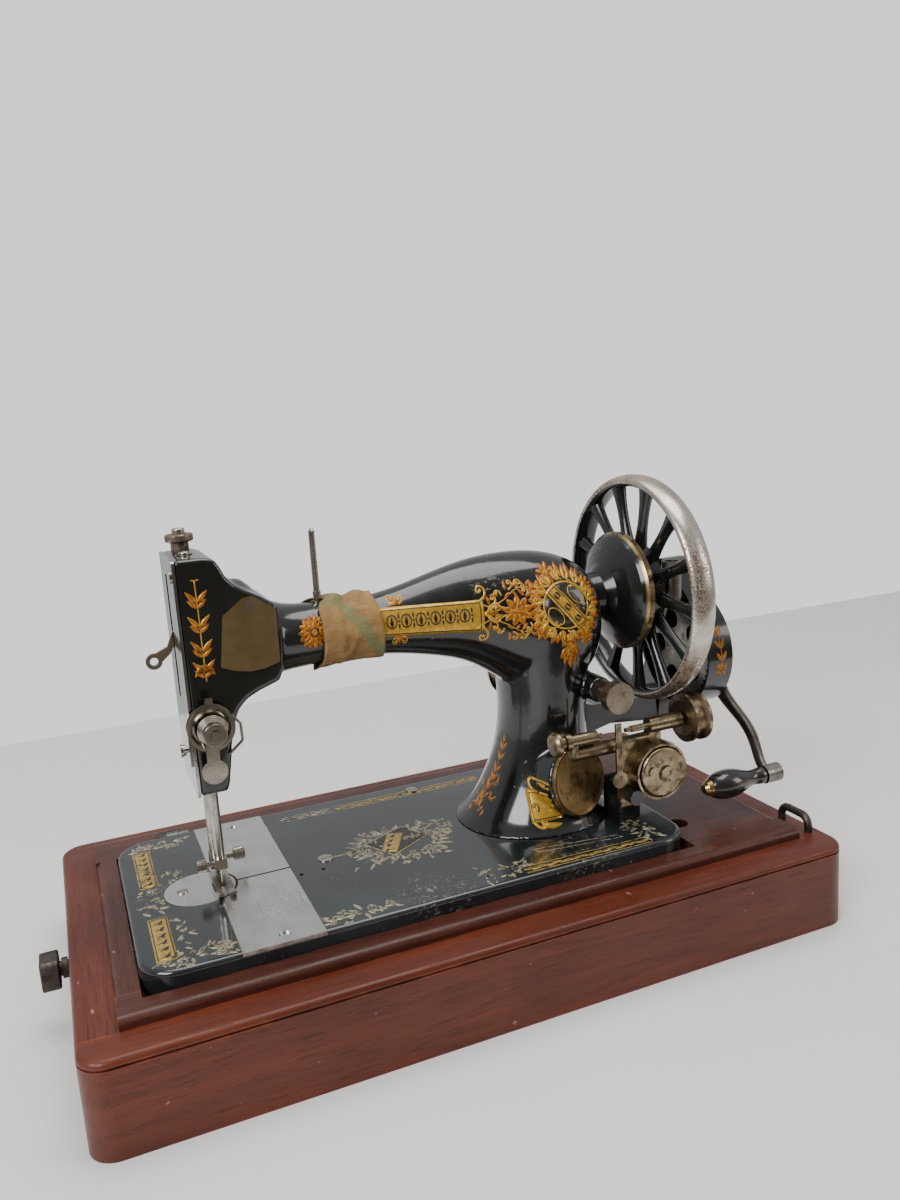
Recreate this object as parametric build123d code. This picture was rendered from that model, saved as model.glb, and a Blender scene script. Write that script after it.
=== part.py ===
from build123d import *
import math
import os

# Hand-cranked vibrating-shuttle sewing machine on a wooden plinth.
# Millimetres.  Origin: centre of the plinth's underside.  +X to the handwheel, +Y to the back, +Z up.

os.makedirs("parts", exist_ok=True)

# ---- plinth ----
BASE_L = 438.0
BASE_W = 251.0
BASE_H = 50.0
BASE_CORNER_R = 14.0
INNER_X = 199.0            # inside faces of the end boards
INNER_Y = 105.5            # inside faces of the long boards
FRAME_TOP = 56.0           # top of the raised frame
LEDGE_Z = 50.0             # ledge that carries the bed
GROOVE_Z = 46.0
BOTTOM_T = 6.0

# ---- head ----
HEAD_Y = -9.3              # middle plane of the head
BED_X0, BED_X1 = -186.5, 131.0
BED_Y0, BED_Y1 = HEAD_Y - 82.5, HEAD_Y + 82.5
BED_TOP = 64.5
BED_CORNER_R = 20.0
SLIDE_X0, SLIDE_X1 = -138.0, -95.0
SLIDE_T = 2.0
SLIDE_SPLIT_Y = -11.5
PLATE_X, PLATE_Y, PLATE_R = -146.7, -11.4, 20.2
FACE_X = -142.5            # casting face behind the face plate
HEAD_FRONT, HEAD_BACK = -36.0, 16.0
HEAD_BOTTOM, HEAD_TOP = 127.5, 254.0
BAR_X = -134.3
NEEDLE_Y, PRESSER_Y = -14.0, 0.5
NEEDLE_BAR_R, PRESSER_BAR_R = 3.0, 3.5
TENSION_X, TENSION_Z = -134.3, 165.8

# ---- drive ----
WHEEL_Z = 199.0
WHEEL_X, WHEEL_R = 150.0, 73.6
RIM_HALF_W, RIM_HALF_H = 8.2, 3.9
SPOKES = 13
SHAFT_R = 5.95
GEAR_TEETH, PINION_TEETH = 48, 16
CRANK_Y, CRANK_Z = -23.0, 157.7
CENTRES = math.hypot(CRANK_Y - HEAD_Y, CRANK_Z - WHEEL_Z)
MODULE = 2 * CENTRES / (GEAR_TEETH + PINION_TEETH)
CASE_R, PINION_CASE_R = 37.0, 17.0
CRANK_R = 91.5
GRIP_Y = -63.0
GRIP_Z = CRANK_Z - math.sqrt(CRANK_R**2 - (GRIP_Y - CRANK_Y) ** 2)
KNUCKLE_X = 213.5
GRIP_PIN_R = 2.2

# ---- bobbin winder ----
WINDER_Y = -62.0
SPINDLE_Z = 125.0
WINDER_PIVOT_X, WINDER_PIVOT_Z = 106.0, 84.0
WORM_WHEEL_X, WORM_WHEEL_Z, WORM_WHEEL_R = 124.0, 97.5, 15.5

CARRIER_X, CARRIER_Y, CARRIER_POST_R = -60.0, 20.0, 3.0

HINGE_Y, HINGE_Z, HINGE_PIN_R = 78.0, 60.0, 2.0
HINGE_XS = (-151.0, 92.0)
GAP = 0.06                 # running clearance, radial


def block(x0, x1, y0, y1, z0, z1):
    return Pos((x0 + x1) / 2, (y0 + y1) / 2, (z0 + z1) / 2) * Box(x1 - x0, y1 - y0, z1 - z0)


def rod(axis, a, b, u, v, r):
    """Cylinder along an axis from a to b; u, v are its other two coordinates in X, Y, Z order."""
    mid = (a + b) / 2
    if axis == "x":
        return Pos(mid, u, v) * Rot(0, 90, 0) * Cylinder(r, b - a)
    if axis == "y":
        return Pos(u, mid, v) * Rot(90, 0, 0) * Cylinder(r, b - a)
    return Pos(u, v, mid) * Cylinder(r, b - a)


def ring(axis, a, b, u, v, outer, inner):
    return rod(axis, a, b, u, v, outer) - rod(axis, a - 1, b + 1, u, v, inner)


def turned(axis, u, v, profile, smooth=False):
    """Solid of revolution from (position along the axis, radius) pairs."""
    start, end = profile[0][0], profile[-1][0]
    path = Spline(*profile) if smooth else Polyline(*profile)
    lines = [path]
    if profile[0][1] > 0:
        lines.append(Line((start, 0), profile[0]))
    if profile[-1][1] > 0:
        lines.append(Line(profile[-1], (end, 0)))
    lines.append(Line((start, 0), (end, 0)))
    solid = revolve(make_face(Curve() + lines), Axis.X)
    if axis == "x":
        return Pos(0, u, v) * solid
    if axis == "y":
        return Pos(u, 0, v) * Rot(0, 0, 90) * solid
    return Pos(u, v, 0) * Rot(0, -90, 0) * solid


def side_plate(points, y0, y1):
    """Outline in X and Z, thick along Y."""
    face = make_face(Plane.XZ * Polyline(*points, close=True))
    return Pos(0, y1, 0) * extrude(face, y1 - y0, dir=(0, -1, 0))


def end_plate(points, x0, x1):
    """Outline in Y and Z, thick along X."""
    face = make_face(Plane.YZ * Polyline(*points, close=True))
    return Pos(x0, 0, 0) * extrude(face, x1 - x0, dir=(1, 0, 0))


def save(name, shape):
    export_step(shape, f"parts/{name}.step")


# ------------------------------------------------------------------ plinth
LOOP_X, LOOP_Y0, LOOP_Y1, LOOP_TOP, LOOP_BAR_R = 210.0, -103.0, -75.0, 62.0, 2.4
LOCK_Y, LOCK_Z, LOCK_R = -3.0, 33.5, 4.0


def staple_shape(bar_r):
    rise = LOOP_TOP - LOOP_BAR_R
    bend = 6.0
    path = FilletPolyline(
        (LOOP_X, LOOP_Y0 + LOOP_BAR_R, 38), (LOOP_X, LOOP_Y0 + LOOP_BAR_R, rise),
        (LOOP_X, LOOP_Y1 - LOOP_BAR_R, rise), (LOOP_X, LOOP_Y1 - LOOP_BAR_R, 38), radius=bend)
    start = Plane(origin=path @ 0, z_dir=path % 0)
    return sweep(start * Circle(bar_r), path)


def plinth_ring():
    ring_body = extrude(RectangleRounded(BASE_L, BASE_W, BASE_CORNER_R), BASE_H)
    ring_body = fillet(ring_body.edges().group_by(Axis.Z)[-1], 3.0)
    groove = extrude(RectangleRounded(BASE_L + 4, BASE_W + 4, BASE_CORNER_R + 2), 1.2)
    groove -= extrude(RectangleRounded(BASE_L - 2.4, BASE_W - 2.4, BASE_CORNER_R - 1.2), 1.2)
    ring_body -= Pos(0, 0, GROOVE_Z - 0.6) * groove
    return ring_body - block(-INNER_X, INNER_X, -INNER_Y, INNER_Y, -1, BASE_H + 1)


def plinth_boards():
    body = plinth_ring()
    far = 400.0
    ends = block(-far, far, -INNER_Y, INNER_Y, -1, far)
    lock_hole = rod("x", -far, -150, LOCK_Y, LOCK_Z, LOCK_R + GAP)
    save("base_front_board", body & block(-far, far, -far, -INNER_Y, -1, far))
    save("base_back_board", body & block(-far, far, INNER_Y, far, -1, far))
    save("base_left_board", (body & ends & block(-far, 0, -far, far, -1, far)) - lock_hole)
    right = body & ends & block(0, far, -far, far, -1, far)
    save("base_right_board", right - staple_shape(LOOP_BAR_R))
    save("base_bottom_board", block(-INNER_X, INNER_X, -INNER_Y, INNER_Y, 0, BOTTOM_T))
    save("staple_loop", staple_shape(LOOP_BAR_R))


RAIL_BOTTOM = 38.0
RAIL_FRONT_Y = -85.5
WALL_X0, WALL_X1 = 119.0, 134.0
LID_X0, LID_X1 = 131.6, 198.6
HOLE_X, HOLE_Y, HOLE_R = 141.6, -61.0, 6.3


def moulded(rail, edge_selector):
    return fillet(edge_selector(rail.edges()), 4.0)


def raised_frame():
    front = block(-INNER_X, INNER_X, -INNER_Y, RAIL_FRONT_Y + 8, RAIL_BOTTOM, FRAME_TOP)
    front = moulded(front, lambda e: e.filter_by(Axis.X).group_by(Axis.Y)[0].sort_by(Axis.Z)[-1:])
    front -= block(BED_X0 - 0.5, LID_X0, BED_Y0 - 0.5, 0, LEDGE_Z, FRAME_TOP + 1)
    front -= block(-INNER_X - 1, INNER_X + 1, RAIL_FRONT_Y, 0, LEDGE_Z, FRAME_TOP + 1)
    save("frame_front_rail", front)
    back = block(-INNER_X, LID_X0 - 0.3, BED_Y1 - 8, INNER_Y, RAIL_BOTTOM, FRAME_TOP)
    back = moulded(back, lambda e: e.filter_by(Axis.X).group_by(Axis.Y)[-1].sort_by(Axis.Z)[-1:])
    back -= block(BED_X0 - 0.5, 400, -400, BED_Y1 + 0.6, LEDGE_Z, FRAME_TOP + 1)
    back -= block(-400, BED_X0 - 0.5, -400, BED_Y1 + 0.6, -1, 400)
    back -= block(WALL_X0, 400, -400, 400, -1, LEDGE_Z)
    save("frame_back_rail", back)
    left = block(-INNER_X, BED_X0 + 8, RAIL_FRONT_Y, BED_Y1 + 0.6, RAIL_BOTTOM, FRAME_TOP)
    left = moulded(left, lambda e: e.filter_by(Axis.Y).group_by(Axis.X)[0].sort_by(Axis.Z)[-1:])
    left -= block(BED_X0 - 0.5, 0, -400, 400, LEDGE_Z, FRAME_TOP + 1)
    left -= block(-400, 400, -400, RAIL_FRONT_Y + 8, -1, LEDGE_Z)
    left -= block(BED_X0 - 0.5, 0, BED_Y1 - 8, 400, -1, 400)
    save("frame_left_rail", left)
    wall = block(WALL_X0, WALL_X1, -INNER_Y, INNER_Y, BOTTOM_T, LEDGE_Z)
    wall -= block(0, 400, -400, RAIL_FRONT_Y + 8, RAIL_BOTTOM, 400)
    save("compartment_wall", wall)
    lid = block(LID_X0, LID_X1, RAIL_FRONT_Y + 0.3, INNER_Y - 0.3, LEDGE_Z, FRAME_TOP)
    lid = fillet(lid.edges().filter_by(Axis.Y).group_by(Axis.X)[-1].sort_by(Axis.Z)[-1:], 4.0)
    lid -= rod("z", 0, 90, HOLE_X, HOLE_Y, HOLE_R)
    save("compartment_lid", lid)


def lock_bolt():
    knob = Pos(-229.5, LOCK_Y, LOCK_Z) * Rot(0, 90, 0) * extrude(RectangleRounded(17, 17, 3), 5, both=True)
    knob = fillet(knob.edges().filter_by(Plane.YZ), 1.2)
    neck = rod("x", -224.6, -175, LOCK_Y, LOCK_Z, LOCK_R)
    collar = rod("x", -223.4, -220.2, LOCK_Y, LOCK_Z, 5.6)
    save("lock_bolt", knob + neck + collar)


def hinge_brackets():
    brackets = []
    for x in HINGE_XS:
        leaf = block(x - 10, x + 10, HINGE_Y + 4.6, HINGE_Y + 18, FRAME_TOP, FRAME_TOP + 2)
        leaf = fillet(leaf.edges().filter_by(Axis.Z).group_by(Axis.Y)[-1], 5.0)
        for side in (-1, 1):
            knuckle = rod("x", x + side * 7 - 3, x + side * 7 + 3, HINGE_Y, HINGE_Z, 4.0)
            leaf += knuckle + block(x + side * 7 - 3, x + side * 7 + 3, HINGE_Y, HINGE_Y + 6, FRAME_TOP, HINGE_Z)
            leaf += rod("z", FRAME_TOP + 1.5, FRAME_TOP + 2.8, x + side * 5, HINGE_Y + 11, 2.2)
        leaf += rod("x", x - 10.5, x + 10.5, HINGE_Y, HINGE_Z, HINGE_PIN_R)
        brackets.append(leaf)
    save("hinge_brackets", Compound(children=brackets))


# ------------------------------------------------------------------ bed
def bed_casting():
    length, width = BED_X1 - BED_X0, BED_Y1 - BED_Y0
    place = Pos((BED_X0 + BED_X1) / 2, HEAD_Y, LEDGE_Z)
    bed = place * extrude(RectangleRounded(length, width, BED_CORNER_R), BED_TOP - LEDGE_Z)
    bed = fillet(bed.edges().group_by(Axis.Z)[-1], 2.5)
    bed -= place * Pos(0, 0, -1) * extrude(RectangleRounded(length - 24, width - 24, 9), BED_TOP - LEDGE_Z - 5)
    bed += rod("z", LEDGE_Z + 2, BED_TOP - 1, 66, HEAD_Y, 40) - rod("z", 0, BED_TOP - 5, 66, HEAD_Y, 33)
    clear = 0.15
    bed -= block(SLIDE_X0 - clear, SLIDE_X1 + clear, BED_Y0 - 1, BED_Y1 + 1, BED_TOP - SLIDE_T, BED_TOP + 1)
    bed -= block(SLIDE_X0 + 5, SLIDE_X1 - 5, BED_Y0 + 14, BED_Y1 - 14, LEDGE_Z, BED_TOP)
    bed -= rod("z", BED_TOP - SLIDE_T, BED_TOP + 1, PLATE_X, PLATE_Y, PLATE_R + 0.1)
    bed -= block(-152, BAR_X + 6, -24, -3, LEDGE_Z, BED_TOP)
    for x in HINGE_XS:
        lug = block(x - 3.7, x + 3.7, BED_Y1 - 3, HINGE_Y, HINGE_Z - 3, HINGE_Z + 3)
        bed += lug + rod("x", x - 3.7, x + 3.7, HINGE_Y, HINGE_Z, 4.0)
        bed -= rod("x", x - 5, x + 5, HINGE_Y, HINGE_Z, HINGE_PIN_R + GAP)
    bed += rod("z", 37, BED_TOP - 5, CARRIER_X, CARRIER_Y, CARRIER_POST_R)
    for x, y, r in ((-78.1, -24.0, 1.3), (-91.2, -24.2, 1.3)):
        bed -= rod("z", 0, 90, x, y, r)
    save("bed_casting", bed)


def slide_plate(name, y0, y1, notch_y):
    plate = block(SLIDE_X0, SLIDE_X1, y0, y1, BED_TOP - SLIDE_T, BED_TOP)
    plate -= rod("z", 0, 90, PLATE_X, PLATE_Y, PLATE_R + 0.3)
    plate -= rod("z", BED_TOP - 0.8, 90, (SLIDE_X0 + SLIDE_X1) / 2 + 1.5, notch_y, 3.4)
    save(name, plate)


def needle_plate():
    plate = rod("z", BED_TOP - SLIDE_T, BED_TOP, PLATE_X, PLATE_Y, PLATE_R)
    plate -= rod("z", 0, 90, BAR_X, NEEDLE_Y, 1.3)
    for x in (BAR_X - 4.2, BAR_X + 4.2):
        plate -= block(x - 1.3, x + 1.3, NEEDLE_Y - 6, NEEDLE_Y + 6, 0, 90)
    save("needle_plate", plate)


# ------------------------------------------------------------------ arm
ARM_SECTIONS = (           # x, underside, top, half depth
    (-112, 175, 237, 25), (-98, 179.5, 229, 22.5), (-85.5, 182, 220.8, 20), (-70, 183, 218.6, 18), (-50, 183.5, 217.5, 17.5),
    (-24, 182, 219.5, 18), (0, 177.5, 225, 20.5), (28, 168, 231.5, 25), (55, 150, 233.5, 30),
    (80, 142, 231, 33), (100, 150, 223, 31), (109, 168, 214, 20))
HEAD_OUTLINE = (           # x, z of the needle head seen from the front
    (FACE_X, HEAD_BOTTOM), (-128.5, HEAD_BOTTOM), (-126.8, 131), (-124.6, 144), (-123, 155), (-119.8, 166.5),
    (-117.5, 171.5), (-112.7, 176.2), (-106, 179.4), (-94.5, 183.4), (-91.5, 190), (-91, 205), (-92, 224.5),
    (-100.2, 230.3), (-108.5, 234.9), (-114, 238.6), (-117.5, 243), (-119.6, 248), (-122, 252),
    (-126.5, HEAD_TOP), (FACE_X, HEAD_TOP))
PILLAR_SECTIONS = (        # z, left x, right x, half depth
    (BED_TOP, 15, 119, 48), (70, 22, 113, 43), (80, 30.5, 107, 38.5), (100, 41.5, 103, 34),
    (127, 48, 103, 31.5), (155, 48, 105, 32), (185, 42, 106, 33))

PIN_X, PIN_R, PIN_SHANK_R, PIN_SHOULDER_Z = -63.5, 1.8, 2.3, 224.5
STITCH_X, STITCH_Z = 98.5, 147.0
BADGE_R = 22.0
BADGE_POSE = Pos(78, -48.6, 94.5) * Rot(0, 0, 17) * Rot(-10, 0, 0) * Rot(0, 0, 180)


def arm_casting():
    faces = []
    for x, low, top, half in ARM_SECTIONS:
        plane = Plane(origin=(x, HEAD_Y, (low + top) / 2), x_dir=(0, 1, 0), z_dir=(1, 0, 0))
        faces.append(plane * Ellipse(half, (top - low) / 2))
    body = loft(faces)
    faces = []
    for z, left, right, half in PILLAR_SECTIONS:
        plane = Plane(origin=((left + right) / 2, HEAD_Y, z), x_dir=(1, 0, 0), z_dir=(0, 0, 1))
        faces.append(plane * Ellipse((right - left) / 2, half))
    body += loft(faces)
    body += side_plate(HEAD_OUTLINE, HEAD_FRONT, HEAD_BACK)
    body -= block(FACE_X - 1, -129.5, -30, 10, HEAD_BOTTOM + 5, 176)
    body -= block(FACE_X - 1, -121.5, -30, 10, 175, HEAD_TOP - 6)
    body -= rod("x", -125, 104, HEAD_Y, WHEEL_Z, 11)
    body -= rod("x", 100, 120, HEAD_Y, WHEEL_Z, SHAFT_R + GAP)
    body -= rod("z", 0, 300, BAR_X, NEEDLE_Y, NEEDLE_BAR_R + GAP)
    body -= rod("z", 0, 300, BAR_X, PRESSER_Y, PRESSER_BAR_R + GAP)
    body -= rod("y", 0, 60, 77, 150, 19)
    body -= rod("y", HEAD_FRONT - 1, -28, TENSION_X, TENSION_Z, 2.5)
    body -= rod("z", 209, 260, PIN_X, HEAD_Y, PIN_SHANK_R)
    body -= block(-142, -125.5, HEAD_BACK - 12, 60, 150, 166)
    body += rod("y", -45.8, -20, STITCH_X, STITCH_Z, 8)
    body -= rod("y", -46, -15, STITCH_X, STITCH_Z, 4 + GAP)
    body += BADGE_POSE * rod("y", -14, 0, 0, 0, BADGE_R + 0.8)
    body -= BADGE_POSE * rod("y", -9.5, 0, 0, 0, 3)
    save("arm_casting", body)


def head_plates():
    plate = block(FACE_X - 1.6, FACE_X, HEAD_FRONT, HEAD_BACK, HEAD_BOTTOM - 1, HEAD_TOP)
    plate = fillet(plate.edges().filter_by(Axis.X), 2.5)
    plate -= block(FACE_X - 5, FACE_X + 5, -9.8, -3.4, 176, 244)
    for z in (HEAD_BOTTOM + 12, HEAD_TOP - 9):
        plate += rod("x", FACE_X - 2.6, FACE_X - 1.6, 10 if z < 200 else -29, z, 3.2)
    shield = side_plate(((-125.3, 196), (-121.6, 223), (-110.5, 231.2), (-105, 231.6), (-93.4, 223.5),
                         (-93.9, 194.2), (-102, 192), (-109.6, 191.4), (-118, 193)), HEAD_FRONT - 1.4, HEAD_FRONT)
    save("shield_cover", fillet(shield.edges().filter_by(Axis.Y), 1.5))
    plate += rod("x", FACE_X - 7, FACE_X - 1.6, -25, 151, 1.6)
    plate += rod("x", FACE_X - 7, FACE_X - 5.8, -25, 151, 3.6)
    plate += block(FACE_X - 2.6, FACE_X - 1.6, -28, -22, 142, 160)
    save("face_plate", plate)
    save("rear_cover", rod("y", HEAD_Y + 33.2, HEAD_Y + 35.2, 77, 150, 22) + rod("y", 16, HEAD_Y + 33.2, 77, 150, 18.8))
    save("spool_pin", turned("z", PIN_X, HEAD_Y, (
        (209.2, PIN_SHANK_R), (PIN_SHOULDER_Z, PIN_SHANK_R), (PIN_SHOULDER_Z, PIN_R), (259, PIN_R), (260.6, 0.6))))


def badge():
    disc = turned("y", 0, 0, ((0, BADGE_R), (1.2, BADGE_R), (2.2, BADGE_R - 1), (1.4, BADGE_R - 2.5), (1.4, 0)))
    peg = rod("y", -9, 0, 0, 0, 3)
    save("badge", BADGE_POSE * (disc + peg))


def screw_head(axis, at, u, v, r, t, out):
    """Slotted pan head with its seat at `at`, standing out by t along `out`."""
    low, high = sorted((at, at + out * t))
    head = rod(axis, low, high, u, v, r)
    tip = at + out * t
    depth = min(0.7, t / 2)
    if axis == "y":
        return head - block(u - r, u + r, tip - depth, tip + depth, v - 0.4, v + 0.4)
    return head - block(u - r, u + r, v - 0.4, v + 0.4, tip - depth, tip + depth)


def head_screws():
    screws = [
        screw_head("y", HEAD_FRONT - 1.4, -107.3, 227.0, 3.3, 1.6, -1),
        screw_head("z", BED_TOP, -156.2, -10.1, 3.2, 0.5, 1),
        screw_head("z", BED_TOP, -73.4, -11.4, 4.6, 0.5, 1),
        screw_head("z", BED_TOP, 8, 60, 4.0, 0.8, 1),
    ]
    save("head_screws", Compound(children=screws))


# ------------------------------------------------------------------ needle and presser
def needle_parts():
    bar = rod("z", 82, HEAD_TOP + 2, BAR_X, NEEDLE_Y, NEEDLE_BAR_R)
    save("needle_bar", fillet(bar.edges().group_by(Axis.Z)[-1], 1.0))
    clamp = block(BAR_X - 3.4, BAR_X + 3.4, NEEDLE_Y - 4.4, NEEDLE_Y + 3.4, 76, 82)
    clamp += rod("x", BAR_X - 11, BAR_X - 3, NEEDLE_Y - 1, 79, 1.5)
    clamp += ring("x", BAR_X - 13, BAR_X - 8, NEEDLE_Y - 1, 79, 3.4, 0.5)
    clamp -= rod("z", 70, 90, BAR_X, NEEDLE_Y, 0.9)
    save("needle_clamp", clamp)
    save("needle", turned("z", BAR_X, NEEDLE_Y, ((55, 0.1), (58, 0.45), (74, 0.55), (76, 0.9), (82, 0.9))))


def presser_parts():
    bar = rod("z", 79, HEAD_TOP + 13, BAR_X, PRESSER_Y, PRESSER_BAR_R)
    save("presser_bar", fillet(bar.edges().group_by(Axis.Z)[-1], 0.8))
    foot = block(BAR_X - 4, BAR_X + 4, PRESSER_Y - 3.5, PRESSER_Y + 3.5, 70, 79)
    foot += block(BAR_X - 1.6, BAR_X + 1.6, PRESSER_Y - 6, PRESSER_Y + 2, 66, 72)
    foot += block(BAR_X - 5, BAR_X + 5, -29, PRESSER_Y + 3, BED_TOP + 0.1, BED_TOP + 1.7)
    foot -= block(BAR_X - 1.4, BAR_X + 1.4, -31, NEEDLE_Y + 3, 60, 69)
    for x in (BAR_X - 3.3, BAR_X + 3.3):
        foot += Pos(x, -30, BED_TOP + 2.0) * Rot(-25, 0, 0) * Box(3.2, 5, 1.4)
    save("presser_foot", foot)
    screw = turned("x", PRESSER_Y, 75, ((BAR_X + 4, 2.2), (BAR_X + 9, 2.2), (BAR_X + 10, 3.8), (BAR_X + 15, 4.2),
                                        (BAR_X + 16, 3.4)))
    save("foot_screw", screw)
    nut = rod("z", HEAD_TOP + 5.8, HEAD_TOP + 10, BAR_X, PRESSER_Y, 7.6)
    nut = fillet(nut.edges(), 1.2) + rod("z", HEAD_TOP + 0.2, HEAD_TOP + 6, BAR_X, PRESSER_Y, 4.8)
    nut -= rod("z", HEAD_TOP, HEAD_TOP + 20, BAR_X, PRESSER_Y, PRESSER_BAR_R + GAP)
    save("presser_adjuster", nut)
    lever = rod("y", 11, 29, -130, 158, 3.2)
    lever += block(-133, -127, 24, 28, 126, 158) + rod("y", 23, 30, -130, 126, 4.5)
    save("presser_lifter", lever)


TAKE_UP_PIVOT = (-126.5, 214.0)
EYE = (-155.6, 197.5)


def take_up_lever():
    px, pz = TAKE_UP_PIVOT
    ex, ez = EYE
    y0, y1 = -7.6, -5.6
    lever = side_plate(((px, pz + 3.6), (px - 18, pz - 1.5), (-148, 204.6), (ex - 1, ez + 3.4), (ex + 1, ez - 3.4),
                        (-147, 200.4), (px - 16, pz - 6.5), (px, pz - 3.6)), y0, y1)
    lever += rod("y", y0, y1, ex, ez, 4.4) + rod("y", y0, y1, px, pz, 3.8)
    lever -= rod("y", y0 - 1, y1 + 1, ex, ez, 2.2)
    lever += rod("y", y1, 8, px, pz, 2.0)
    save("take_up_lever", lever)


def tension_parts():
    f = HEAD_FRONT
    x, z = TENSION_X, TENSION_Z
    stud = rod("y", f - 21, -28.5, x, z, 2.5) + rod("y", f - 1.2, f, x, z, 9)
    stud += block(x - 2, x + 2, f - 1.2, f, z + 7, z + 14.6) + block(x - 2, x + 2, f - 8, f, z + 13.4, z + 14.6)
    stud += block(x - 2, x + 2, f - 8, f - 6.8, z + 13.4, z + 17)
    save("tension_stud", stud)
    saucer = turned("y", x, z, ((f - 7.6, 12.4), (f - 6.9, 12.4), (f - 4.7, 7.0)))
    saucer -= turned("y", x, z, ((f - 8, 11.6), (f - 5.5, 6.4)))
    back = turned("y", x, z, ((f - 4.6, 7.0), (f - 2.4, 12.4), (f - 1.7, 12.4)))
    back -= turned("y", x, z, ((f - 3.8, 6.4), (f - 1.3, 11.6)))
    discs = [d - rod("y", f - 40, f, x, z, 2.5) for d in (back, saucer)]
    save("tension_discs", Compound(children=discs))
    save("tension_spring", ring("y", f - 15, f - 9.1, x, z, 8.2, 3.6))
    plate = ring("y", f - 9, f - 7.7, x, z, 6.8, 2.5)
    lobe_x, lobe_z = x - 0.9, 143.0
    plate += block(lobe_x - 3.4, lobe_x + 3.4, f - 9, f - 7.7, lobe_z, z - 5)
    plate += rod("y", f - 9, f - 7.7, lobe_x, lobe_z, 6.7)
    save("tension_plate", plate)
    nut = ring("y", f - 20, f - 15.2, x, z, 6.1, 2.5 + GAP)
    save("tension_nut", fillet(nut.edges().group_by(Axis.Y)[0], 0.4))
    loop_path = FilletPolyline((x + 11.6, f - 0.85, z + 4), (x + 16.0, f - 0.85, z - 1.5),
                               (x + 16.3, f - 0.85, z - 11), (x + 8.5, f - 0.85, z - 17.5), radius=2.5)
    wire = sweep(Plane(origin=loop_path @ 0, z_dir=loop_path % 0) * Circle(0.75), loop_path)
    save("check_spring", wire)


# ------------------------------------------------------------------ handwheel and crank
def spoke(angle):
    inner, outer = 26.0, WHEEL_R - 2 * RIM_HALF_H + 1.5
    faces = []
    for r, half_t, half_w in ((inner, 5.4, 4.8), (46, 3.7, 3.2), (outer, 5.8, 4.6)):
        faces.append(Plane(origin=(WHEEL_X - 1, 0, r), x_dir=(1, 0, 0), z_dir=(0, 0, 1)) * Ellipse(half_w, half_t))
    return Pos(0, HEAD_Y, WHEEL_Z) * Rot(-angle, 0, 0) * loft(faces)


def handwheel():
    rim_mid = WHEEL_R - RIM_HALF_H
    section = Plane(origin=(WHEEL_X, 0, rim_mid), x_dir=(1, 0, 0), z_dir=(0, -1, 0)) * Ellipse(RIM_HALF_W, RIM_HALF_H)
    wheel = Pos(0, HEAD_Y, WHEEL_Z) * revolve(section, Axis.X)
    wheel += turned("x", HEAD_Y, WHEEL_Z, (
        (111.5, 13), (118, 14), (123, 19), (127, 28), (131, 35), (134.5, 38), (138, 38), (139, 36.5),
        (140, 31), (143.5, 30), (151.5, 30), (153.5, 26), (154, 20)))
    for k in range(SPOKES):
        wheel += spoke(-41 + 360 / SPOKES * k)
    wheel -= rod("x", 100, 200, HEAD_Y, WHEEL_Z, SHAFT_R)
    save("handwheel", wheel)
    shaft = rod("x", -118, 154, HEAD_Y, WHEEL_Z, SHAFT_R)
    save("arm_shaft", shaft + rod("x", -118.5, -112, HEAD_Y, WHEEL_Z, 10))


def gear_outline(teeth, phase):
    """Trapezoid teeth; phase is the first tooth's angle from +Y towards +Z, in degrees."""
    pitch_r = MODULE * teeth / 2
    tip, root = pitch_r + 0.85 * MODULE, pitch_r - 1.15 * MODULE
    step = 360 / teeth
    points = []
    for k in range(teeth):
        centre = phase + k * step
        for r, share in ((root, -0.33), (tip, -0.13), (tip, 0.13), (root, 0.33)):
            a = math.radians(centre + share * step)
            points.append((r * math.cos(a), r * math.sin(a)))
    return points


CASE_X0, CASE_X1 = 168.0, 186.0
STUD_R = 4.5


def gears():
    towards_pinion = math.degrees(math.atan2(WHEEL_Z - CRANK_Z, HEAD_Y - CRANK_Y))
    gear = end_plate(gear_outline(GEAR_TEETH, towards_pinion), 171, 177)
    for k in range(5):
        a = math.radians(72 * k)
        gear -= rod("x", 160, 180, 20 * math.cos(a), 20 * math.sin(a), 6.5)
    gear += rod("x", 171, 195, 0, 0, 6)
    save("crank_gear", Pos(0, CRANK_Y, CRANK_Z) * gear)
    phase = towards_pinion + 180 + 180 / PINION_TEETH
    pinion = end_plate(gear_outline(PINION_TEETH, phase), 170.5, 177.5)
    pinion += rod("x", 160.2, 170.5, 0, 0, 7.5)
    pinion -= rod("x", 150, 190, 0, 0, STUD_R + GAP)
    save("drive_pinion", Pos(0, HEAD_Y, WHEEL_Z) * pinion)


def drive_finger():
    """Arm on the pinion with a hollow post that stands between two spokes."""
    post_y, post_z0, post_z1 = -23.0, -9.0, 19.0
    finger = rod("x", 156, 160.2, 0, 0, 11)
    finger += block(156, 160.2, post_y, 0, -6, 6)
    finger += rod("z", post_z0, post_z1, 161, post_y, 6.2)
    finger -= rod("z", 8, 30, 161, post_y, 4.4)
    finger -= rod("x", 150, 170, 0, 0, STUD_R + GAP)
    save("drive_finger", Pos(0, HEAD_Y, WHEEL_Z) * finger)


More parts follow.
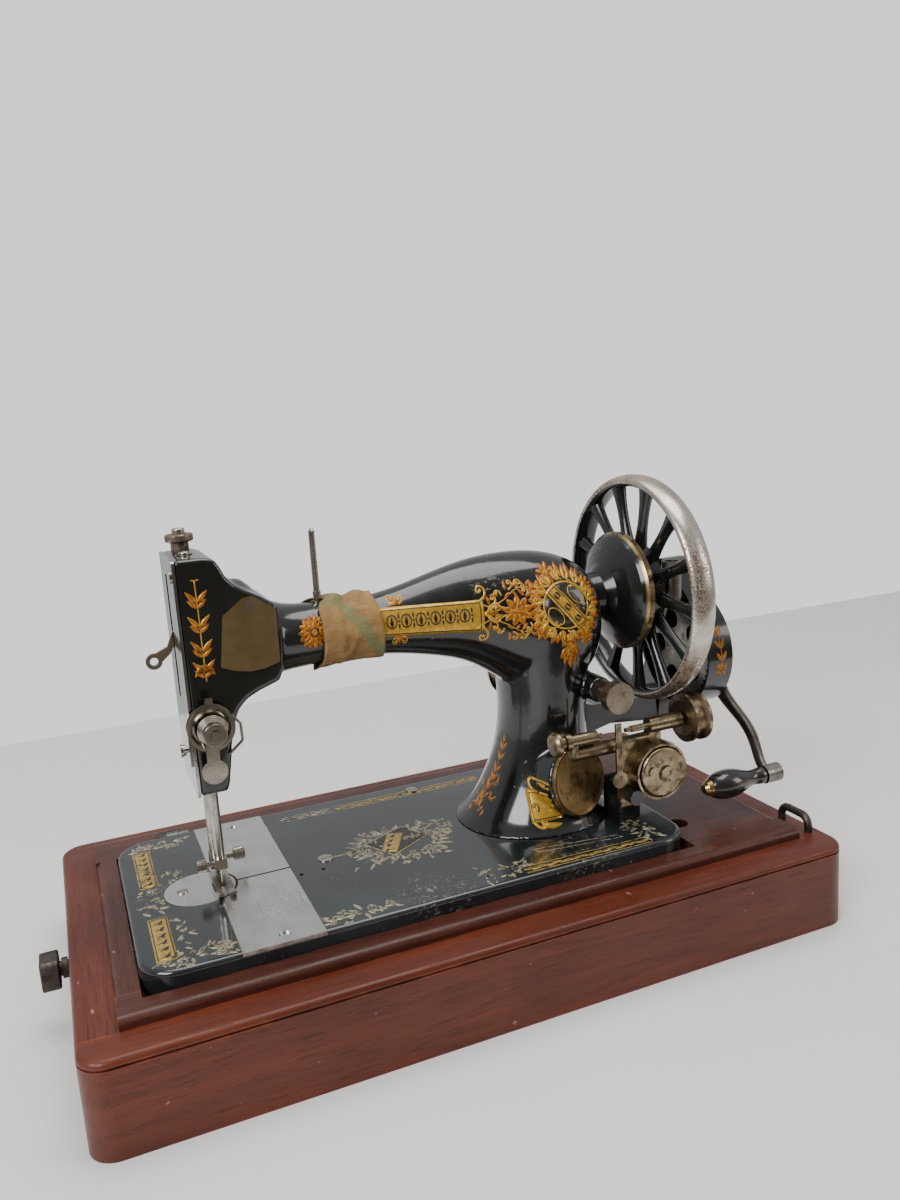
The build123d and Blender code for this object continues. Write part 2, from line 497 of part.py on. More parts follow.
def case_solid(grow, x0, x1):
    """Two discs round the gears and the straight sides that join them."""
    big_r, small_r = CASE_R + grow, PINION_CASE_R + grow
    axis_y, axis_z = (HEAD_Y - CRANK_Y) / CENTRES, (WHEEL_Z - CRANK_Z) / CENTRES
    lean = math.asin((big_r - small_r) / CENTRES)
    corners = []
    for side in (-1, 1):
        ny = side * axis_z * math.cos(lean) + axis_y * math.sin(lean)
        nz = -side * axis_y * math.cos(lean) + axis_z * math.sin(lean)
        corners.append(((CRANK_Y + big_r * ny, CRANK_Z + big_r * nz), (HEAD_Y + small_r * ny, WHEEL_Z + small_r * nz)))
    outline = (corners[0][0], corners[0][1], corners[1][1], corners[1][0])
    discs = rod("x", x0, x1, CRANK_Y, CRANK_Z, big_r) + rod("x", x0, x1, HEAD_Y, WHEEL_Z, small_r)
    return discs + end_plate(outline, x0, x1)


def gear_case():
    wall, face = 1.8, 3.0
    case = case_solid(0, CASE_X0, CASE_X1)
    foot = ((HEAD_Y + 2, 128), (HEAD_Y + 6, 104), (HEAD_Y + 30, 104), (HEAD_Y + 30, 123), (HEAD_Y + 16, 150))
    case += end_plate(foot, CASE_X0, CASE_X1)
    case -= case_solid(-wall, CASE_X0 - 5, CASE_X1 - face)
    case += rod("x", CASE_X1 - face, CASE_X1 + 4, CRANK_Y, CRANK_Z, 11)
    case -= rod("x", 160, 200, CRANK_Y, CRANK_Z, 6 + GAP)
    case += rod("x", 155.5, CASE_X1, HEAD_Y, WHEEL_Z, STUD_R)
    save("gear_case", case)


def crank_bracket():
    """Arm from the pillar, under the handwheel, to the gear case."""
    arm = side_plate(((100, 96), (112, 104), (130, 108), (CASE_X0, 104), (CASE_X0, 121.5), (135, 122.5),
                      (118, 123), (100, 128)), HEAD_Y + 6, HEAD_Y + 30)
    arm -= pillar_clearance()
    save("crank_bracket", arm)


def pillar_clearance():
    faces = []
    for z, left, right, half in PILLAR_SECTIONS:
        plane = Plane(origin=((left + right) / 2, HEAD_Y, z), x_dir=(1, 0, 0), z_dir=(0, 0, 1))
        faces.append(plane * Ellipse((right - left) / 2, half))
    return loft(faces)


def crank():
    path_points = ((194, CRANK_Y, CRANK_Z), (194.8, CRANK_Y - 9, CRANK_Z - 18), (196, CRANK_Y - 15, CRANK_Z - 32),
                   (203, CRANK_Y - 22, CRANK_Z - 46), (208.5, CRANK_Y - 28, CRANK_Z - 60),
                   (KNUCKLE_X - 1.5, GRIP_Y, GRIP_Z))
    sizes = ((7.5, 3.2), (6.6, 3.2), (6.0, 3.0), (5.2, 3.0), (4.6, 2.8), (4.4, 2.6))
    down = Vector(0, GRIP_Y - CRANK_Y, GRIP_Z - CRANK_Z).normalized()
    faces = []
    for (x, y, z), (half_w, half_t) in zip(path_points, sizes):
        plane = Plane(origin=(x, y, z), x_dir=(1, 0, 0), z_dir=down)
        faces.append(plane * Ellipse(half_t, half_w))
    arm = loft(faces) + rod("x", 190.3, 198, CRANK_Y, CRANK_Z, 9)
    arm -= rod("x", 150, 195, CRANK_Y, CRANK_Z, 6)
    arm += rod("x", KNUCKLE_X - 6.2, KNUCKLE_X + 5.5, GRIP_Y, GRIP_Z, 6)
    arm += rod("x", 162, KNUCKLE_X, GRIP_Y, GRIP_Z, GRIP_PIN_R)
    save("crank_arm", arm)


def crank_grip():
    y, z = GRIP_Y, GRIP_Z
    grip = turned("x", y, z, ((165, 5.6), (169, 7.8), (176, 9.2), (184, 8.6), (192, 6.2), (199, 4.9), (204, 5.4),
                              (206.4, 5.2)), smooth=True)
    save("crank_grip", grip - rod("x", 150, 220, y, z, GRIP_PIN_R + GAP))
    cap = turned("x", y, z, ((159.6, 0), (160, 2.6), (162, 4.4), (164.8, 5.5)))
    save("grip_cap", cap - rod("x", 162, 170, y, z, GRIP_PIN_R + GAP))


# ------------------------------------------------------------------ stitch knob and winder
def stitch_knob():
    shaft = rod("y", -62, -18, STITCH_X, STITCH_Z, 4.0)
    shaft += rod("y", -52, -46, STITCH_X, STITCH_Z, 7.0) + rod("y", -67, -60, STITCH_X, STITCH_Z, 9.5)
    save("stitch_knob", shaft)


def winder():
    y, z = WINDER_Y, SPINDLE_Z
    frame = rod("x", 68, 122, y + 3.4, z - 9.5, 4.4)
    frame += rod("x", 66, 84, y, z, 3.8)
    frame += block(66, 70, y - 3, y + 3, z - 9, z)
    frame += ring("x", 120, 143, y, z, 4.8, 2.0 + GAP)
    frame += block(120, 128, y - 2.5, y + 4, z - 10, z - 3)
    frame += side_plate(((WINDER_PIVOT_X - 7, WINDER_PIVOT_Z - 7), (WINDER_PIVOT_X + 8, WINDER_PIVOT_Z - 7),
                         (138, 90), (139, 110), (124, 117.5), (100, 118)), y - 1, y + 3)
    frame += ring("y", y - 9, y + 3, WORM_WHEEL_X, WORM_WHEEL_Z, 17.6, 16.2)
    frame -= rod("x", 119, 145, y, z, 2.0 + GAP) + rod("x", 60, 90, y, z, 1.6)
    frame -= rod("y", -90, -30, WINDER_PIVOT_X, WINDER_PIVOT_Z, 3.0 + GAP)
    frame -= rod("y", -90, -30, WORM_WHEEL_X, WORM_WHEEL_Z, 2.5 + GAP)
    save("winder_frame", frame)
    spindle = rod("x", 108, 145, y, z, 2.0) + rod("x", 104, 108, y, z, 1.4)
    spindle += turned("x", y, z, ((145, 11), (146, 15), (148, 15), (149.5, 12.5), (154, 12.5), (155.5, 15),
                                  (157.5, 15), (158.5, 12), (160, 4)))
    save("winder_spindle", spindle)
    centre = turned("x", y, z, ((54.5, 6.2), (56, 7.6), (58, 7.6), (59, 4.0), (62, 4.0), (62.5, 5.4), (65.6, 5.4)))
    centre += rod("x", 65.6, 88, y, z, 1.5)
    save("winder_centre", centre)
    wheel = rod("y", y - 11, y - 1.2, WORM_WHEEL_X, WORM_WHEEL_Z, WORM_WHEEL_R)
    wheel = fillet(wheel.edges().group_by(Axis.Y)[0], 1.5)
    wheel += rod("y", y - 1.4, y + 4, WORM_WHEEL_X, WORM_WHEEL_Z, 2.5)
    wheel += rod("y", y - 12.6, y - 11, WORM_WHEEL_X + 2, WORM_WHEEL_Z - 1, 5)
    wheel += rod("y", y - 12.2, y - 11, WORM_WHEEL_X - 8, WORM_WHEEL_Z + 2, 2.8)
    save("winder_wheel", wheel)
    guide = block(94, 98, y - 6.2, y - 4.6, 97, 132) + rod("y", y - 6.2, y - 4.6, 96, 97, 5)
    guide += rod("y", y - 4.6, y - 1, 96, 97, 2.5)
    save("winder_thread_guide", guide)
    post = rod("y", y - 6.5, -38, WINDER_PIVOT_X, WINDER_PIVOT_Z, 3.0) - pillar_clearance()
    post += rod("y", y - 8.5, y - 1.2, WINDER_PIVOT_X, WINDER_PIVOT_Z, 4.6)
    post += block(101, 116, y + 4.3, -40, BED_TOP, 90) - pillar_clearance()
    save("winder_bracket", post)


# ------------------------------------------------------------------ under the bed
def shuttle_parts():
    carrier = rod("z", 38, 50, CARRIER_X, CARRIER_Y, 6)
    carrier += block(-118, CARRIER_X, 17, 23, 40, 44) + block(-126, -112, -26, 23, 40, 44)
    carrier -= rod("z", 30, 60, CARRIER_X, CARRIER_Y, CARRIER_POST_R + GAP)
    carrier += block(-126, -123, -26, 4, 44, 52) + block(-115, -112, -26, 4, 44, 52)
    save("shuttle_carrier", carrier)
    shuttle = turned("y", -119, 50, ((-34, 0.4), (-28, 2.6), (-18, 3.7), (0, 3.7), (5, 3.0)))
    save("shuttle", shuttle)
    dog = block(BAR_X - 5.2, BAR_X + 5.2, NEEDLE_Y - 5, NEEDLE_Y + 5, 55.8, 61)
    for x in (BAR_X - 4.2, BAR_X + 4.2):
        dog += block(x - 1.0, x + 1.0, NEEDLE_Y - 5, NEEDLE_Y + 4, 61, 63.9)
    dog += block(BAR_X - 4, BAR_X + 4, NEEDLE_Y + 4.9, 60, 55.8, 58.2)
    dog -= rod("z", 50, 70, BAR_X, NEEDLE_Y, 1.5)
    save("feed_dog", dog)


def cloth_band():
    outer = Plane(origin=(-66.5, HEAD_Y, 201), x_dir=(0, 1, 0), z_dir=(1, 0, 0)) * Ellipse(21.6, 22.4)
    inner = Plane(origin=(-66.5, HEAD_Y, 201), x_dir=(0, 1, 0), z_dir=(1, 0, 0)) * Ellipse(19.2, 19.8)
    band = extrude(outer - inner, 35)
    save("cloth_band", band - rod("z", 200, 260, PIN_X, HEAD_Y, PIN_SHANK_R + 0.8))


plinth_boards()
raised_frame()
lock_bolt()
hinge_brackets()
bed_casting()
slide_plate("front_slide_plate", BED_Y0 + 0.1, SLIDE_SPLIT_Y - 0.3, BED_Y0 + 7.5)
slide_plate("rear_slide_plate", SLIDE_SPLIT_Y + 0.3, BED_Y1 - 0.4, BED_Y1 - 11)
needle_plate()
arm_casting()
head_plates()
badge()
head_screws()
needle_parts()
presser_parts()
take_up_lever()
tension_parts()
handwheel()
gears()
drive_finger()
gear_case()
crank_bracket()
crank()
crank_grip()
stitch_knob()
winder()
shuttle_parts()
cloth_band()
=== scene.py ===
import math
import random

import bpy
from mathutils import Matrix, Vector
from mathutils.bvhtree import BVHTree


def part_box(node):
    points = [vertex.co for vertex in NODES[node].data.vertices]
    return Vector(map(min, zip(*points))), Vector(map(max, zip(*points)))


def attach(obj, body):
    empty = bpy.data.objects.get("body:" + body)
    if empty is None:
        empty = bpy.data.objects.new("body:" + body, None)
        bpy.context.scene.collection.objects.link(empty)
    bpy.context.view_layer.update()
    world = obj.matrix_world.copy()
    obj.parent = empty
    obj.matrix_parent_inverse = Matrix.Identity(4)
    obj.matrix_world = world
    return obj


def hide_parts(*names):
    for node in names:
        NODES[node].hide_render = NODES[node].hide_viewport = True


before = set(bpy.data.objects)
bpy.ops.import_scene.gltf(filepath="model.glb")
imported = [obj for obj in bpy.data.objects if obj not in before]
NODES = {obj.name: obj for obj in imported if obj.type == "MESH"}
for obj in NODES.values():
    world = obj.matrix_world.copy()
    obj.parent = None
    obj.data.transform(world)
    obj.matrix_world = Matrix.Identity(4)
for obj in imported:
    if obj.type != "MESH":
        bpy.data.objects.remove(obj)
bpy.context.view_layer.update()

MM = 0.001
HEAD_Y = -9.3            # middle plane of the sewing head, mm
WHEEL_CENTRE = (150.0, -9.3, 199.0)
WHEEL_PLATED_FROM = 68.2               # mm; the rim is plated outside this radius, enamelled inside it
FLANGE_RING = (33.5, 39.0)             # radii of the worn ring on the hub flange
PLATE_CENTRE, PLATE_RADIUS = (-146.7, -11.4, 64.5), 20.4
SLIDE_SPLIT_Y = -11.5


# ---------------------------------------------------------------- camera, floor and light

CAMERA_PLACE = (-0.1978, -0.5373, 0.3203)
CAMERA_AZIMUTH, CAMERA_ELEVATION, CAMERA_ROLL = -22.2, 11.1, -3.7
SENSOR_HEIGHT, LENS = 36.0, 29.0
LIGHTS = {                 # place, target, size, power, colour
    "window": ((-1.3, -0.9, 1.15), (-0.05, 0, 0.12), (1.0, 0.9), 34, (0.93, 0.97, 1.0)),
    "ceiling": ((0.15, 0.1, 1.7), (0.05, 0, 0.1), (1.6, 1.0), 24, (1.0, 0.985, 0.96)),
    "fill": ((1.3, -1.0, 0.7), (0.1, 0, 0.12), (0.5, 0.8), 5, (1.0, 0.97, 0.93)),
}
BRIGHT_SIDE = (0.25, 0.9, 0.55)       # direction that the light walls and ceiling lie in
ROOM_DARK, ROOM_LIGHT = (0.15, 0.128, 0.1, 1), (0.56, 0.57, 0.58, 1)
BACKGROUND = (1.2, 1.22, 1.205, 1)
# mm; the floor ends in front so that polished metal reflects the dark room
FLOOR_HALF_WIDTH, FLOOR_FRONT, FLOOR_BACK = 1500, -450, 560

def look_matrix(position, azimuth, elevation, roll):
    """Camera matrix for a place in metres and angles in degrees."""
    a, e, r = (math.radians(v) for v in (azimuth, elevation, roll))
    back = Vector((math.sin(a) * math.cos(e), -math.cos(a) * math.cos(e), math.sin(e)))
    right = Vector((0, 0, 1)).cross(back).normalized()
    up = back.cross(right)
    turned_right = math.cos(r) * right + math.sin(r) * up
    turned_up = math.cos(r) * up - math.sin(r) * right
    matrix = Matrix((turned_right, turned_up, back)).transposed().to_4x4()
    matrix.translation = position
    return matrix


def make_camera():
    data = bpy.data.cameras.new("camera")
    data.sensor_fit = "VERTICAL"
    data.sensor_height = SENSOR_HEIGHT
    data.lens = LENS
    data.clip_start = 0.01
    camera = bpy.data.objects.new("camera", data)
    bpy.context.scene.collection.objects.link(camera)
    camera.matrix_world = look_matrix(CAMERA_PLACE, CAMERA_AZIMUTH, CAMERA_ELEVATION, CAMERA_ROLL)
    bpy.context.scene.camera = camera


def area_light(name, position, target, size, power, colour):
    data = bpy.data.lights.new(name, "AREA")
    data.shape = "RECTANGLE"
    data.size, data.size_y = size
    data.energy = power
    data.color = colour
    light = bpy.data.objects.new(name, data)
    bpy.context.scene.collection.objects.link(light)
    way = Vector(target) - Vector(position)
    light.matrix_world = Matrix.Translation(position) @ way.to_track_quat("-Z", "Y").to_matrix().to_4x4()


def make_lights():
    for name, settings in LIGHTS.items():
        area_light(name, *settings)


def make_world():
    """Light walls and ceiling, a darker room towards -Y, and an even pale background."""
    world = bpy.data.worlds.new("studio")
    world.use_nodes = True
    tree = world.node_tree
    direction = tree.nodes.new("ShaderNodeTexCoord").outputs["Generated"]
    towards = tree.nodes.new("ShaderNodeVectorMath")
    towards.operation = "DOT_PRODUCT"
    tree.links.new(direction, towards.inputs[0])
    towards.inputs[1].default_value = BRIGHT_SIDE
    share = tree.nodes.new("ShaderNodeMapRange")
    share.interpolation_type = "SMOOTHSTEP"
    tree.links.new(towards.outputs["Value"], share.inputs["Value"])
    share.inputs["From Min"].default_value = -0.62
    share.inputs["From Max"].default_value = 0.35
    room = tree.nodes.new("ShaderNodeMix")
    room.data_type = "RGBA"
    tree.links.new(share.outputs[0], room.inputs[0])
    room.inputs[6].default_value = ROOM_DARK
    room.inputs[7].default_value = ROOM_LIGHT
    seen = tree.nodes.new("ShaderNodeMix")
    seen.data_type = "RGBA"
    tree.links.new(tree.nodes.new("ShaderNodeLightPath").outputs["Is Camera Ray"], seen.inputs[0])
    tree.links.new(room.outputs[2], seen.inputs[6])
    seen.inputs[7].default_value = BACKGROUND
    tree.links.new(seen.outputs[2], tree.nodes["Background"].inputs["Color"])
    bpy.context.scene.world = world


# ---------------------------------------------------------------- materials

class Shader:
    """A Principled material made of procedural nodes, in object coordinates (metres)."""

    def __init__(self, name, **fixed):
        self.material = bpy.data.materials.new(name)
        self.material.use_nodes = True
        self.tree = self.material.node_tree
        self.bsdf = self.tree.nodes["Principled BSDF"]
        for socket, value in fixed.items():
            self.bsdf.inputs[socket.replace("_", " ")].default_value = value
        self.place = self.tree.nodes.new("ShaderNodeTexCoord").outputs["Object"]

    def feed(self, socket, value):
        if isinstance(value, bpy.types.NodeSocket):
            self.tree.links.new(value, socket)
        elif isinstance(value, tuple) and len(value) == 3 and socket.type == "RGBA":
            socket.default_value = (*value, 1)
        else:
            socket.default_value = value

    def maths(self, operation, a, b=0.0, clamp=False):
        node = self.tree.nodes.new("ShaderNodeMath")
        node.operation = operation
        node.use_clamp = clamp
        self.feed(node.inputs[0], a)
        self.feed(node.inputs[1], b)
        return node.outputs[0]

    def times(self, a, b):
        return self.maths("MULTIPLY", a, b)

    def plus(self, a, b, clamp=False):
        return self.maths("ADD", a, b, clamp)

    def minus(self, a, b):
        return self.maths("SUBTRACT", a, b)

    def scaled(self, stretch, shift=(0, 0, 0)):
        node = self.tree.nodes.new("ShaderNodeMapping")
        self.feed(node.inputs["Vector"], self.place)
        node.inputs["Scale"].default_value = stretch
        node.inputs["Location"].default_value = shift
        return node.outputs[0]

    def noise(self, scale, detail=4.0, stretch=(1, 1, 1), roughness=0.55, distortion=0.0, shift=0.0):
        node = self.tree.nodes.new("ShaderNodeTexNoise")
        self.feed(node.inputs["Vector"], self.scaled(stretch, (shift, shift, shift)))
        node.inputs["Scale"].default_value = scale
        node.inputs["Detail"].default_value = detail
        node.inputs["Roughness"].default_value = roughness
        node.inputs["Distortion"].default_value = distortion
        return node.outputs[0]

    def step(self, value, low, high, to_low=0.0, to_high=1.0):
        node = self.tree.nodes.new("ShaderNodeMapRange")
        node.interpolation_type = "SMOOTHSTEP"
        for socket, v in zip(node.inputs, (value, low, high, to_low, to_high)):
            self.feed(socket, v)
        return node.outputs[0]

    def mix(self, share, a, b):
        node = self.tree.nodes.new("ShaderNodeMix")
        node.data_type = "RGBA"
        self.feed(node.inputs[0], share)
        self.feed(node.inputs[6], a)
        self.feed(node.inputs[7], b)
        return node.outputs[2]

    def ramp(self, value, *stops):
        node = self.tree.nodes.new("ShaderNodeValToRGB")
        self.feed(node.inputs[0], value)
        elements = node.color_ramp.elements
        while len(elements) < len(stops):
            elements.new(0.5)
        for element, (place, colour) in zip(elements, stops):
            element.position = place
            element.color = (*colour, 1)
        return node.outputs[0]

    def axes(self):
        node = self.tree.nodes.new("ShaderNodeSeparateXYZ")
        self.feed(node.inputs[0], self.place)
        return node.outputs

    def distance(self, point):
        """Distance in metres from a point given in millimetres."""
        node = self.tree.nodes.new("ShaderNodeVectorMath")
        node.operation = "DISTANCE"
        self.feed(node.inputs[0], self.place)
        node.inputs[1].default_value = [c * MM for c in point]
        return node.outputs["Value"]

    def radius_about_x(self, y, z):
        """Distance in metres from the X-parallel line through y, z in millimetres."""
        axes = self.axes()
        dy = self.minus(axes[1], y * MM)
        dz = self.minus(axes[2], z * MM)
        total = self.plus(self.times(dy, dy), self.times(dz, dz))
        return self.maths("SQRT", total)

    def edges(self, radius=0.0012):
        """1 on edges and corners, 0 on flat faces."""
        bevel = self.tree.nodes.new("ShaderNodeBevel")
        bevel.samples = 6
        bevel.inputs["Radius"].default_value = radius
        geometry = self.tree.nodes.new("ShaderNodeNewGeometry")
        dot = self.tree.nodes.new("ShaderNodeVectorMath")
        dot.operation = "DOT_PRODUCT"
        self.feed(dot.inputs[0], bevel.outputs[0])
        self.feed(dot.inputs[1], geometry.outputs["Normal"])
        return self.step(dot.outputs["Value"], 0.99, 0.86)

    def colour(self, value):
        self.feed(self.bsdf.inputs["Base Color"], value)

    def roughness(self, value):
        self.feed(self.bsdf.inputs["Roughness"], value)

    def metallic(self, value):
        self.feed(self.bsdf.inputs["Metallic"], value)

    def bump(self, height, distance, strength=1.0):
        node = self.tree.nodes.new("ShaderNodeBump")
        node.inputs["Strength"].default_value = strength
        node.inputs["Distance"].default_value = distance
        self.feed(node.inputs["Height"], height)
        self.feed(self.bsdf.inputs["Normal"], node.outputs[0])


def wood(name, along, dark, mid, light, polish=0.34):
    """Mahogany with its grain along 'x' or 'y'."""
    s = Shader(name, Coat_Weight=0.08, Coat_Roughness=0.22, Specular_IOR_Level=0.3)
    grain = {"x": (1.0, 13.0, 13.0), "y": (13.0, 1.0, 13.0)}[along]
    fibre = {"x": (1.0, 34.0, 34.0), "y": (34.0, 1.0, 34.0)}[along]
    figure = s.noise(9.0, 6.0, grain, 0.6, 0.9)
    fine = s.noise(38.0, 5.0, fibre, 0.6, 0.2, 3.0)
    pores = s.noise(55.0, 3.0, fibre, 0.5, 0.0, 9.0)
    blotch = s.noise(13.0, 3.0)
    tone = s.plus(s.times(figure, 0.55), s.times(fine, 0.45))
    colour = s.ramp(tone, (0.3, dark), (0.5, mid), (0.7, light))
    colour = s.mix(s.step(blotch, 0.42, 0.72, 0.0, 0.45), colour, dark)
    colour = s.mix(s.step(pores, 0.6, 0.7, 0.0, 0.75), colour, tuple(0.35 * c for c in dark))
    rubbed = s.times(s.edges(0.0016), s.step(s.noise(60.0, 4.0), 0.42, 0.66))
    colour = s.mix(s.times(rubbed, 0.55), colour, tuple(min(1.0, 2.3 * c) for c in light))
    nicks = s.step(s.noise(190.0, 2.0, (1.0, 0.35, 1.6)), 0.75, 0.775)
    colour = s.mix(s.times(nicks, 0.5), colour, (0.42, 0.25, 0.17))
    s.colour(colour)
    s.roughness(s.step(s.noise(24.0, 5.0), 0.3, 0.75, polish - 0.07, polish + 0.16))
    height = s.minus(s.times(fine, 0.4), s.step(pores, 0.58, 0.7))
    s.bump(height, 0.00012, 0.5)
    return s.material


def enamel(name="black_enamel", scuffs=(), tint=(0.006, 0.007, 0.0066)):
    """Gloss black japan finish; scuffs are (point in mm, radius in mm) pale rubbed places."""
    s = Shader(name, Coat_Weight=0.5, Coat_Roughness=0.05, Specular_IOR_Level=0.5)
    haze = s.noise(21.0, 6.0)
    colour = s.mix(s.step(haze, 0.4, 0.75), tint, tuple(2.1 * c for c in tint))
    speck_zones = s.step(s.noise(28.0, 3.0, shift=5.0), 0.5, 0.62)
    specks = s.times(s.step(s.noise(420.0, 2.0), 0.7, 0.735), speck_zones)
    chips = s.times(s.edges(0.0011), s.step(s.noise(230.0, 4.0, shift=2.0), 0.55, 0.61))
    bare = s.maths("MAXIMUM", specks, chips)
    for point, radius in scuffs:
        near = s.step(s.distance(point), radius * MM, radius * MM * 0.25)
        patch = s.step(s.noise(260.0, 8.0, (1.0, 1.0, 1.9), 0.75, 0.6, 7.0), 0.545, 0.6)
        bare = s.maths("MAXIMUM", bare, s.times(near, patch))
    colour = s.mix(s.times(bare, 0.8), colour, (0.17, 0.155, 0.135))
    s.colour(colour)
    rough = s.step(haze, 0.35, 0.8, 0.13, 0.27)
    s.roughness(s.plus(rough, s.times(bare, 0.35), clamp=True))
    s.bump(s.minus(s.noise(120.0, 3.0), s.times(bare, 0.7)), 0.00008, 0.35)
    return s


def metal_shader(name, bright, dull, stain, stain_from, rough, rust=0.0, wear=0.5, grain=None,
                 height=0.00005):
    """Plated or bare metal with cloudy dulling, dark staining and optional rust speckle."""
    s = Shader(name, Metallic=1.0)
    cloud = s.noise(65.0, 6.0)
    stain_mask = s.step(s.noise(150.0, 7.0, shift=4.0, roughness=0.65), stain_from, stain_from + 0.16)
    colour = s.mix(s.step(cloud, 0.36, 0.68), bright, dull)
    colour = s.mix(s.times(stain_mask, wear), colour, stain)
    level = s.step(cloud, 0.3, 0.72, *rough)
    level = s.plus(level, s.times(stain_mask, 0.14), clamp=True)
    relief = s.noise(310.0, 4.0)
    if grain:
        lines = s.noise(300.0, 3.0, grain)
        level = s.plus(level, s.step(lines, 0.3, 0.7, -0.05, 0.08), clamp=True)
        relief = s.plus(relief, lines)
    if rust:
        where = s.step(s.noise(24.0, 3.0, shift=8.0), 0.42 - rust * 0.2, 0.72 - rust * 0.2)
        dots = s.step(s.noise(520.0, 5.0, shift=1.0), 0.47, 0.56)
        spots = s.times(where, dots)
        colour = s.mix(spots, colour, (0.075, 0.043, 0.026))
        level = s.plus(level, s.times(spots, 0.4), clamp=True)
        s.metallic(s.minus(1.0, s.times(spots, 0.8)))
        relief = s.plus(relief, spots)
    s.colour(colour)
    s.roughness(level)
    s.bump(relief, height, 0.4)
    return s


def slide_steel(name, with_split):
    """Bright steel, with painted shade along the seams round the needle plate's edge and along the split
    between the slides.
    """
    s = metal_shader(name, (0.7, 0.69, 0.67), (0.6, 0.59, 0.575), (0.3, 0.27, 0.23), 0.66,
                     (0.22, 0.3), grain=(0.6, 0.05, 0.6), wear=0.3, height=0.00002)
    base = s.bsdf.inputs["Base Color"].links[0].from_socket
    # painted shade: a dark band along the gap round the needle plate and along the split between the slides
    from_ring = s.minus(s.distance(PLATE_CENTRE), PLATE_RADIUS * MM)
    dark = s.step(s.maths("ABSOLUTE", from_ring), 0.0009, 0.0004)
    if with_split:
        from_split = s.minus(s.axes()[1], SLIDE_SPLIT_Y * MM)
        dark = s.maths("MAXIMUM", dark, s.step(s.maths("ABSOLUTE", from_split), 0.001, 0.0005))
    s.colour(s.mix(dark, base, (0.03, 0.026, 0.022)))
    return s.material


def wheel_material():
    """Black enamel hub and spokes, bright rusted rim and a brass-worn ring on the hub flange."""
    s = enamel("wheel_enamel")
    base = s.bsdf.inputs["Base Color"].links[0].from_socket
    rough = s.bsdf.inputs["Roughness"].links[0].from_socket
    radius = s.radius_about_x(WHEEL_CENTRE[1], WHEEL_CENTRE[2])
    rim = s.step(radius, WHEEL_PLATED_FROM * MM, (WHEEL_PLATED_FROM + 0.8) * MM)
    where = s.step(s.noise(17.0, 3.0, shift=8.0), 0.34, 0.56)
    dots = s.step(s.noise(820.0, 3.0, shift=1.0, roughness=0.6), 0.46, 0.56)
    rust = s.times(where, dots)
    cloud = s.noise(55.0, 5.0, shift=3.0)
    plate = s.mix(s.step(cloud, 0.35, 0.7), (0.6, 0.555, 0.5), (0.4, 0.35, 0.29))
    golden = s.step(s.noise(160.0, 3.0, shift=9.0), 0.42, 0.6)
    rust_colour = s.mix(golden, (0.075, 0.04, 0.022), (0.26, 0.15, 0.062))
    plate = s.mix(s.times(rust, 0.92), plate, rust_colour)
    along = s.axes()[0]
    on_flange = s.times(s.step(along, 0.1325, 0.1335), s.step(along, 0.14, 0.1394))
    inner, outer = (r * MM for r in FLANGE_RING)
    past_inner = s.step(radius, inner, inner + MM)
    flange_ring = s.times(past_inner, s.step(radius, outer, outer - 0.5 * MM))
    flange_ring = s.times(flange_ring, on_flange)
    ring_wear = s.times(flange_ring, s.step(s.noise(70.0, 5.0, shift=6.0), 0.36, 0.5))
    colour = s.mix(rim, base, plate)
    s.colour(s.mix(ring_wear, colour, (0.3, 0.215, 0.105)))
    bare = s.maths("MAXIMUM", rim, ring_wear)
    s.metallic(s.times(bare, s.minus(1.0, s.times(rust, 0.8))))
    polished = s.step(cloud, 0.3, 0.7, 0.2, 0.34)
    rim_rough = s.plus(polished, s.times(rust, 0.35))
    s.roughness(s.plus(s.times(bare, rim_rough),
                        s.times(s.minus(1.0, bare), rough)))
    s.bsdf.inputs["Coat Weight"].default_value = 0.15
    return s.material


def decal(name, light, dark, worn_from, worn, metallic=0.45):
    """Transfer ornament under varnish; worn_from sets how much of it has rubbed away to black."""
    s = Shader(name, Coat_Weight=0.25, Coat_Roughness=0.1, Specular_IOR_Level=0.3)
    shade = s.noise(330.0, 4.0)
    colour = s.mix(s.step(shade, 0.34, 0.66), light, dark)
    gone = s.step(s.noise(210.0, 7.0, shift=2.0, roughness=0.7), worn_from, worn_from + 0.05)
    s.colour(s.mix(gone, colour, worn))
    s.metallic(s.times(s.minus(1.0, gone), metallic))
    s.roughness(s.step(shade, 0.3, 0.7, 0.26, 0.42))
    s.bump(shade, 0.00004, 0.3)
    return s.material


